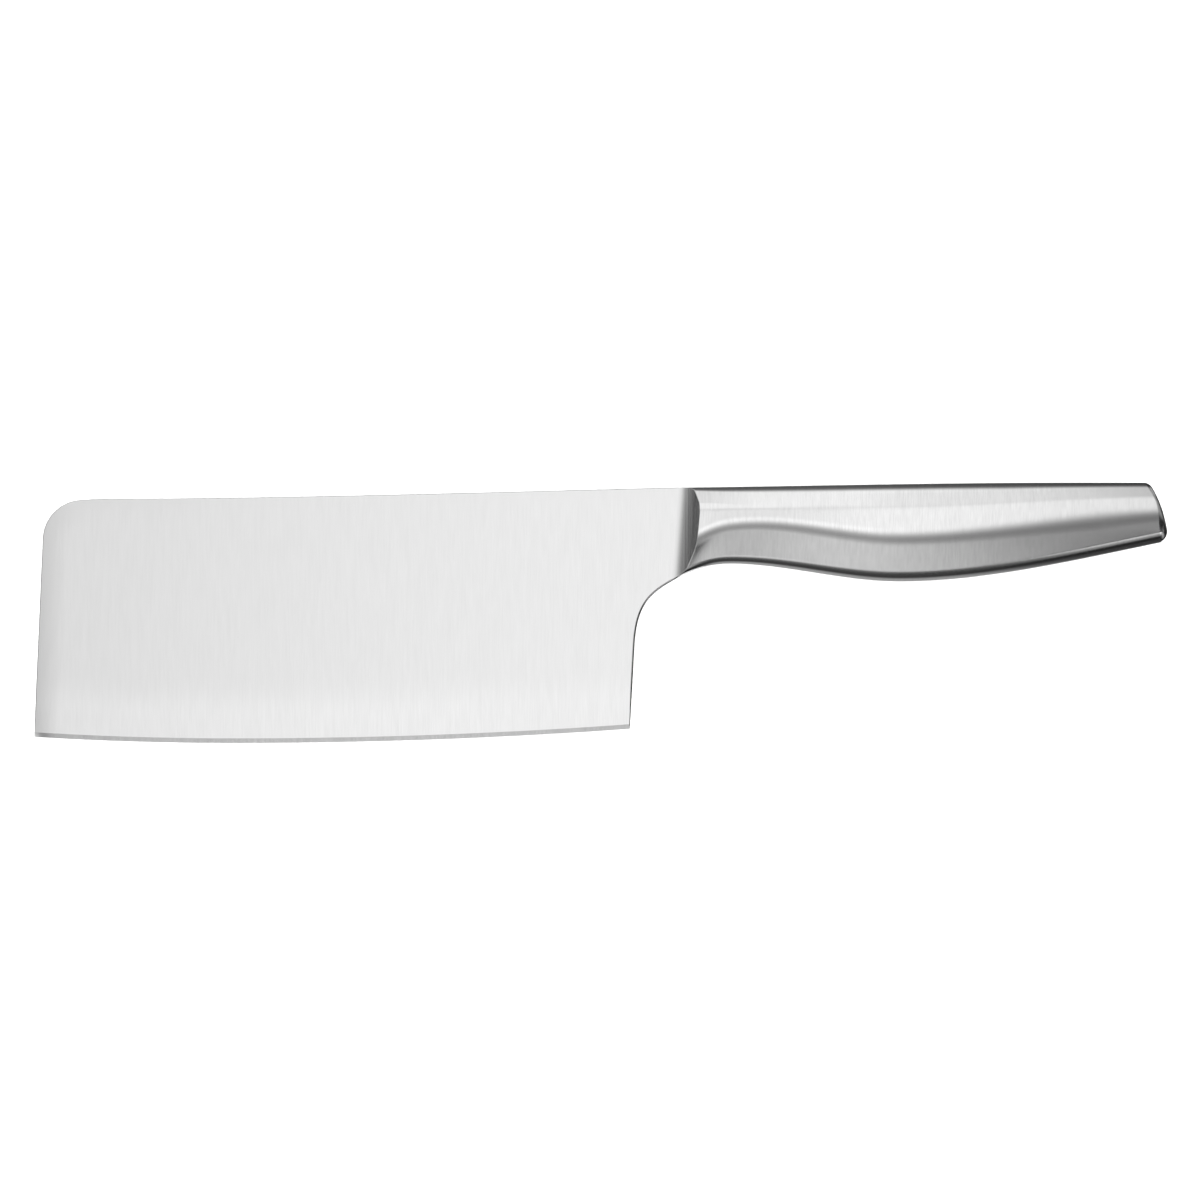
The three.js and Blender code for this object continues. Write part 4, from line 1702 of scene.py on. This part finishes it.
@dataclass
class Handle:
    """The hollow part of the handle: two shells and the ground welds round and between them."""

    form: HandleForm
    walls: WallTree
    stations: int = 110
    ring_stations: int = 4  # the same on the welds round the handle

    def strip(self, rows: Sequence[Row], start: Array | float, end: Array | float, stations: int) -> Patch:
        """A stretch of the handle's surface.

        Args:
            rows: Lines along the handle.
            start: X where each row begins.
            end: X where each row ends.
            stations: Number of places along the stretch.

        Returns:
            The stretch.
        """
        way = np.linspace(0.0, 1.0, stations)[:, None]
        first = np.broadcast_to(start, len(rows))
        return self.form.surface(first + (end - first) * way, rows)

    def walled(self, name: str, patch: Patch, pose: RestPose, finish: Brushed) -> Mesh:
        """A piece with an even wall behind a stretch of the handle's surface.

        Args:
            name: Of the piece.
            patch: The stretch.
            pose: How the knife lies in the frame.
            finish: The piece's finish.

        Returns:
            The piece's mesh.
        """
        skin = Skin()
        skin.grid(patch)
        return self.walls.apply(skin.mesh(name, pose), self.form.wall * MM, finish.material())

    def weld_back(self, rows: Sequence[Row]) -> Array:
        """Where the long pieces end at the cap's weld."""
        return self.form.plane_x(rows, self.form.cap_thickness + self.form.weld_width - FIT / 2)

    def cap_front(self, rows: Sequence[Row]) -> Array:
        """Where the cap's weld ends at the cap."""
        return self.form.plane_x(rows, self.form.cap_thickness + FIT / 2)

    def shell(self, side: Side, pose: RestPose) -> Mesh:
        """One half of the hollow handle.

        Args:
            side: Which half.
            pose: How the knife lies in the frame.

        Returns:
            The shell's mesh.
        """
        rows = SHELL_ROWS if side is Side.LEFT else mirrored(SHELL_ROWS)
        patch = self.strip(rows, self.form.shell_x, self.weld_back(rows), self.stations)
        return self.walled("shell", patch, pose, HANDLE_BRUSH)

    def seam_weld(self, rows: Sequence[Row], pose: RestPose) -> Mesh:
        """A weld between the shells, ground flush.

        Args:
            rows: Lines along the weld.
            pose: How the knife lies in the frame.

        Returns:
            The weld's mesh.
        """
        patch = self.strip(rows, self.form.shell_x, self.weld_back(rows), self.stations)
        return self.walled("seam_weld", patch, pose, WELD_BRUSH)

    def bolster_weld(self, pose: RestPose) -> Mesh:
        """The weld round the handle behind the bolster, ground flush."""
        patch = self.strip(RING_ROWS, self.form.joint_x, self.form.shell_x, self.ring_stations)
        return self.walled("bolster_weld", patch, pose, WELD_BRUSH)

    def cap_weld(self, pose: RestPose) -> Mesh:
        """The weld round the handle at the end cap, ground flush."""
        start, end = self.weld_back(RING_ROWS), self.cap_front(RING_ROWS)
        patch = self.strip(RING_ROWS, start, end, self.ring_stations)
        return self.walled("cap_weld", patch, pose, WELD_BRUSH)


@dataclass
class ButtCap:
    """The end of the handle, with rounded edges, an arched end face and a spigot."""

    form: HandleForm
    handle: Handle
    edge_round: float = 1.0  # of the end face's sides, beside the cheeks
    flank_round: float = 2.4  # the same beside the flanks
    round_steps: int = 8
    side_stations: int = 6
    face_heights: Span = (-18.0, 2.0, 0.6)  # first, last and spacing of points on the end
    face_widths: Span = (-6.0, 6.5, 0.6)
    face_gap: float = 0.25  # between them and the end's edge

    def edge_radius(self, row: Row) -> float:
        """Rounding of the end's edge where a row meets it.

        Args:
            row: A line along the handle.

        Returns:
            The radius.
        """
        if row.corner is Corner.CROWN:
            return self.form.butt_top_radius
        if row.corner is Corner.SHOULDER:
            return self.edge_round
        share = 1.0 if row.across is not None else row.share
        if row.corner is Corner.RIDGE:
            return self.edge_round + (self.flank_round - self.edge_round) * share
        return self.flank_round + (self.form.butt_bottom_radius - self.flank_round) * share

    def build(self, pose: RestPose) -> Mesh:
        """The cap's mesh.

        Args:
            pose: How the knife lies in the frame.

        Returns:
            The mesh, with its material.
        """
        form = self.form
        rows = RING_ROWS
        radius = np.array([self.edge_radius(row) for row in rows])
        front = self.handle.cap_front(rows)
        skin = Skin()
        none = np.zeros(len(rows))
        sides = self.handle.strip(rows, front, form.arc_x(rows, radius, none), self.side_stations)
        skin.grid(sides)
        points = [sides.points[-1]]
        normals = [sides.normals[-1]]
        for step in range(1, self.round_steps + 1):
            turn = math.pi / 2 * step / self.round_steps
            inset = radius * (1 - math.cos(turn))
            depth = radius * (1 - math.sin(turn))
            ring = form.surface(form.arc_x(rows, depth, inset), rows, inset)
            facing = ring.normals * math.cos(turn) + self.end_normals(ring.points) * math.sin(turn)
            points.append(ring.points)
            normals.append(unit(facing))
        skin.grid(Patch(np.stack(points), np.stack(normals)))
        self.end_face(skin, points[-1][:-1])
        self.spigot(skin, rows, front)
        made = skin.mesh("butt_cap", pose)
        made.materials.append(HANDLE_BRUSH.material())
        return made

    def end_normals(self, points: Array) -> Array:
        """Directions in which the end's arc faces."""
        way = points[..., :2] - self.form.butt_centre
        return unit(np.concatenate([way, np.zeros_like(way[..., :1])], axis=-1))

    def end_face(self, skin: Skin, ring: Array) -> None:
        """Fill the arched end face inside its rounded edge.

        Args:
            skin: The cap's surface.
            ring: The edge's inner side.
        """
        spread = lattice(np.arange(*self.face_heights), np.arange(*self.face_widths))
        outline = ring[:, 1:]
        spread = spread[clear(spread, outline, self.face_gap)]
        places, faces = filled(outline, spread)
        centre = self.form.butt_centre
        x = centre[0] + np.sqrt(self.form.butt_radius**2 - (places[:, 0] - centre[1]) ** 2)
        x[: len(ring)] = ring[:, 0]
        points = np.concatenate([x[:, None], places], axis=-1)
        skin.fill(Patch(points, self.end_normals(points)), places, faces)

    def spigot(self, skin: Skin, rows: Sequence[Row], front: Array) -> None:
        """Close the front of the cap and add the spigot that sits in the shells.

        Args:
            skin: The cap's surface.
            rows: Lines round the handle.
            front: X where the cap begins at each row.
        """
        form = self.form
        inset = form.wall + FIT
        depths = (form.cap_thickness + FIT / 2, form.cap_thickness + form.weld_width + form.spigot_length)
        outer = form.surface(front, rows).points
        ends = np.stack([form.plane_x(rows, depth, inset) for depth in depths])
        sleeve = form.surface(ends, rows, inset)
        forward = -np.array([math.cos(form.butt_angle), math.sin(form.butt_angle), 0.0])
        skin.grid(Patch(np.stack([outer, sleeve.points[0]]), np.broadcast_to(forward, (2, len(rows), 3))))
        skin.grid(sleeve)
        skin.lid(sleeve.points[-1], forward)


class BeadTree(PieceTree):
    """Geometry Nodes that lay a rippled weld bead along a closed path."""

    def __init__(self) -> None:
        """Build the tree, with the bead's radius and its ripples as inputs."""
        super().__init__("bead_along_path", "Radius", "Ripples", "Swell")
        graph, given = self.graph, self.given
        curve = graph.node("GeometryNodeMeshToCurve", {"Mesh": given["Start"]})
        way = graph.node("GeometryNodeSplineParameter").outputs["Factor"]
        phase = graph.math("MULTIPLY", graph.math("MULTIPLY", way, given["Ripples"]), math.tau)
        wave = graph.math("MULTIPLY", graph.math("SINE", phase), given["Swell"])
        swollen = graph.math("MULTIPLY", graph.math("ADD", wave, 1.0), given["Radius"])
        ring = graph.node(
            "GeometryNodeCurvePrimitiveCircle", {"Resolution": BEAD_SIDES, "Radius": 1.0}, mode="RADIUS"
        )
        bead = graph.node(
            "GeometryNodeCurveToMesh",
            {"Curve": curve.outputs[0], "Profile Curve": ring.outputs[0], "Scale": swollen},
        )
        self.end(bead.outputs[0])

    def apply(self, path: Mesh, radius: float, ripples: int, swell: float) -> Mesh:
        """A bead along a closed path as a plain mesh.

        Args:
            path: A loop of edges.
            radius: Of the bead, in metres.
            ripples: How many there are along the path.
            swell: Their height as a share of the radius.

        Returns:
            The bead's mesh.
        """
        values = {"Radius": radius, "Ripples": float(ripples), "Swell": swell, "Finish": BEAD.material()}
        return self.make(path, values)


@dataclass
class TangWeld:
    """The hidden bead round the tang, behind the bolster's spigot."""

    form: HandleForm
    blade: BladeForm
    beads: BeadTree
    bead: float = 2.2
    corner_steps: int = 8
    end_steps: int = 6  # of the path over the tang's narrow sides
    side_steps: int = 30  # of the path along its broad sides
    ripples: int = 22
    swell: float = 0.05

    def build(self, pose: RestPose) -> Mesh:
        """The bead's mesh.

        Args:
            pose: How the knife lies in the frame.

        Returns:
            The mesh, with its material.
        """
        x = self.form.shell_x + FIT / 2 + self.form.spigot_length + FIT + self.bead / 2
        middle = -self.form.throat_depth / 2
        half_height = self.blade.tang_height / 2 + FIT
        half_width = self.blade.spine_thickness / 2 + FIT
        arcs: list[Array] = []
        for n, (across, up) in enumerate(((1, 1), (-1, 1), (-1, -1), (1, -1))):
            angle = math.pi / 2 * (n + np.linspace(0.0, 1.0, self.corner_steps + 1))
            y = middle + up * half_height + self.bead / 2 * np.sin(angle)
            z = across * half_width + self.bead / 2 * np.cos(angle)
            arcs.append(np.stack([np.full_like(y, x), y, z], axis=-1))
        parts: list[Array] = []
        for arc, following, steps in zip(arcs, arcs[1:] + arcs[:1], (self.end_steps, self.side_steps) * 2):
            parts += [arc, line(arc[-1], following[0], steps)[1:-1]]
        points = np.concatenate(parts)
        path = bpy.data.meshes.new("tang_weld")
        edges = [(n, (n + 1) % len(points)) for n in range(len(points))]
        path.from_pydata(pose.place(points).tolist(), edges, [])
        made = self.beads.apply(path, self.bead / 2 / (1 + self.swell) * MM, self.ripples, self.swell)
        made.polygons.foreach_set("use_smooth", np.ones(len(made.polygons), dtype=bool))
        made.uv_layers.new(name="grain")
        return made


# Light that the steel mirrors, by the direction that it comes from, in degrees from straight up.
# Tilt is positive towards the spine, and side is positive towards the butt.
TILT_LIGHT = (
    (-180, 0.45), (-122, 0.38), (-112, 0.26), (-104, 0.09), (-96, 0.045), (-76, 0.06), (-68, 0.085),
    (-60, 0.14), (-54, 0.27), (-48, 0.6), (-40, 0.7), (-34, 0.66), (-29, 0.38), (-25, 0.28), (-21, 0.34),
    (-18, 0.52), (-15, 0.82), (-12, 1.08), (-9, 1.16), (-5, 1.1), (3, 1.1), (9, 1.04), (14, 0.98),
    (20, 1.1), (27, 1.16), (46, 1.15), (56, 0.94), (67, 0.58), (78, 0.27), (92, 0.14), (134, 0.1),
    (180, 0.5),
)


class Band(NamedTuple):
    """Light from the toe to the butt, and the tilts over which it takes over from the band before it."""

    fade: tuple[float, float]
    stops: Pairs  # sides with their brightness


RIM_LIGHT = ((-90, 0.6), (9, 1.0), (11, 0.5), (13, 0.15), (16, 0.05), (90, 0.05))
KEEL_BAND = Band(
    (-116, -106),
    ((-90, 0.5), (-30, 1.0), (9, 1.0), (11, 0.6), (13, 0.4), (16, 0.3), (90, 0.2)),
)
LOW_BAND = Band(
    (-80, -72),
    (
        (-90, 0.1), (-60, 0.3), (-30, 0.8), (-9, 1.25), (-2, 1.0), (2, 0.75), (7, 0.5), (10, 0.55),
        (12, 1.1), (14, 2.6), (16, 4.4), (25, 4.4), (45, 1.0), (90, 0.2),
    ),
)
FLANK_BAND = Band(
    (-50, -46),
    (
        (-90, 0.1), (-60, 0.3), (-30, 0.95), (-7, 1.12), (-3, 1.03), (3, 1.02), (6, 0.9), (9, 0.38),
        (12, 0.04), (15, 0.02), (90, 0.03),
    ),
)
GRIND_BAND = Band(
    (-30, -15),
    (
        (-90, 0.1), (-60, 0.12), (-43, 0.2), (-30, 0.25), (-22, 0.38), (-17, 0.55), (-13, 0.84),
        (-10, 1.03), (-7, 1.29), (-4, 1.38), (-2, 1.28), (0, 1.04), (3, 0.9), (6, 0.87), (9, 0.88),
        (14, 0.5), (24, 0.25), (40, 0.14), (90, 0.1),
    ),
)
MIDDLE_BAND = Band(
    (-11.5, -6),
    (
        (-90, 0.1), (-70, 0.11), (-55, 0.16), (-43, 0.22), (-30, 0.3), (-22, 0.4), (-17, 0.55), (-13, 0.7),
        (-10, 0.74), (-6, 0.98), (-2, 1.11), (3, 1.06), (5, 0.98), (7, 0.88), (9, 0.78), (14, 0.55),
        (20, 0.42), (30, 0.34), (45, 0.3), (90, 0.22),
    ),
)
UPPER_BAND = Band(
    (10, 22),
    (
        (-90, 0.1), (-60, 0.3), (-30, 0.8), (-9, 0.93), (-5, 0.97), (-3, 1.03), (-1, 1.03), (1.5, 0.98),
        (3.5, 0.85), (5, 0.69), (6.2, 0.5), (8, 0.32), (11, 0.3), (20, 0.3), (30, 0.28), (90, 0.2),
    ),
)
BANDS = (KEEL_BAND, LOW_BAND, FLANK_BAND, GRIND_BAND, MIDDLE_BAND, UPPER_BAND)


@dataclass
class Studio:
    """Pale floor, soft light from all round and the camera, in metres and degrees."""

    camera_height: float = 1.3
    frame_width: float = 0.33
    frame_centre: tuple[float, float] = (-0.0002, 0.0036)
    object_height: float = 0.0062
    floor_half: float = 4.0
    floor_grey: float = 0.8
    floor_light: float = 3.0
    backdrop: float = 1.0
    plain_sides: tuple[float, float] = (32.0, 44.0)  # sides over which a plain sky sets in
    plain_lifts: tuple[float, float] = (0.46, 0.6)  # the same for a direction's part along Y
    plain_heights: tuple[float, float] = (0.3, 0.42)  # parts along Z over which it gives way again
    plain_span: tuple[float, float] = (-0.1, 0.7)  # parts along Z over which it brightens
    plain_light: tuple[float, float] = (0.35, 0.85)

    def build(self) -> None:
        """Set up the floor, the light and the camera."""
        scene = bpy.context.scene
        scene.view_settings.view_transform = "Standard"
        scene.view_settings.look = "None"
        self.floor()
        self.light()
        self.camera()

    def floor(self) -> None:
        """A wide pale floor, which the steel doesn't mirror."""
        half = self.floor_half
        mesh = bpy.data.meshes.new("floor")
        corners = [(-half, -half, 0.0), (half, -half, 0.0), (half, half, 0.0), (-half, half, 0.0)]
        mesh.from_pydata(corners, [], [(0, 1, 2, 3)])
        paint = bpy.data.materials.new("floor_paint")
        paint.use_nodes = True
        graph = Graph(paint.node_tree)
        matt = graph.node("ShaderNodeBsdfDiffuse", {"Color": (*[self.floor_grey] * 3, 1.0)})
        graph.node("ShaderNodeOutputMaterial", {"Surface": matt.outputs[0]})
        mesh.materials.append(paint)
        floor = bpy.data.objects.new("floor", mesh)
        bpy.context.scene.collection.objects.link(floor)
        floor.visible_glossy = False

    def light(self) -> None:
        """Softboxes and dark gaps all round, as a sky that the steel mirrors."""
        world = bpy.data.worlds.new("studio")
        bpy.context.scene.world = world
        world.use_nodes = True
        world.cycles.sampling_method = "NONE"
        graph = Graph(world.node_tree)
        way = graph.node("ShaderNodeTexCoord").outputs["Generated"]
        axes = graph.node("ShaderNodeSeparateXYZ", {0: way}).outputs
        degree = 180 / math.pi
        side = graph.math("MULTIPLY", graph.math("ARCSINE", axes[0]), degree)
        tilt = graph.math("MULTIPLY", graph.math("ARCTAN2", axes[1], axes[2]), degree)
        across = graph.ramp(side, RIM_LIGHT)
        for band in BANDS:
            across = graph.mix(graph.remap(tilt, *band.fade), across, graph.ramp(side, band.stops))
        near = graph.math("MULTIPLY", graph.ramp(tilt, TILT_LIGHT), across)
        apart = graph.remap(graph.math("ABSOLUTE", axes[1]), *self.plain_lifts)
        far = graph.remap(graph.math("ABSOLUTE", side), *self.plain_sides)
        low = graph.remap(axes[2], *self.plain_heights, 1.0, 0.0)
        plain = graph.remap(axes[2], *self.plain_span, *self.plain_light)
        share = graph.math("MULTIPLY", graph.math("MULTIPLY", far, apart), low)
        sky = graph.mix(share, near, plain)
        rays = graph.node("ShaderNodeLightPath").outputs
        behind = graph.mix(rays["Is Camera Ray"], self.floor_light, self.backdrop)
        seen = graph.mix(rays["Is Glossy Ray"], behind, sky)
        glow = graph.node("ShaderNodeBackground", {"Color": (1.0, 1.0, 1.0, 1.0), "Strength": seen})
        graph.node("ShaderNodeOutputWorld", {"Surface": glow.outputs[0]})

    def camera(self) -> None:
        """A camera straight above the knife."""
        data = bpy.data.cameras.new("camera")
        data.sensor_fit = "HORIZONTAL"
        distance = self.camera_height - self.object_height
        data.angle = 2 * math.atan(self.frame_width / 2 / distance)
        camera = bpy.data.objects.new("camera", data)
        camera.location = (*self.frame_centre, self.camera_height)
        bpy.context.scene.collection.objects.link(camera)
        bpy.context.scene.camera = camera


def main() -> None:
    """Build every piece, then the studio."""
    logging.basicConfig(level=logging.INFO, format="%(name)s: %(message)s")
    form = HandleForm()
    blade_form = BladeForm(form)
    pose = RestPose.from_frame(blade_form)
    handle = Handle(form, WallTree())
    piece(Blade(blade_form).build(pose), "blade", Slot.BLADE)
    piece(Bolster(form, blade_form).build(pose), "bolster", Slot.HANDLE)
    piece(handle.shell(Side.LEFT, pose), "handle_shell_left", Slot.HANDLE)
    piece(handle.shell(Side.RIGHT, pose), "handle_shell_right", Slot.HANDLE)
    piece(ButtCap(form, handle).build(pose), "butt_cap", Slot.HANDLE)
    piece(handle.seam_weld(SPINE_ROWS, pose), "spine_weld", Slot.WELD)
    piece(handle.seam_weld(BELLY_ROWS, pose), "belly_weld", Slot.WELD)
    piece(handle.bolster_weld(pose), "bolster_weld", Slot.WELD)
    piece(handle.cap_weld(pose), "cap_weld", Slot.WELD)
    piece(TangWeld(form, blade_form, BeadTree()).build(pose), "tang_weld", Slot.WELD)
    Studio().build()


if __name__ == "__main__":
    main()
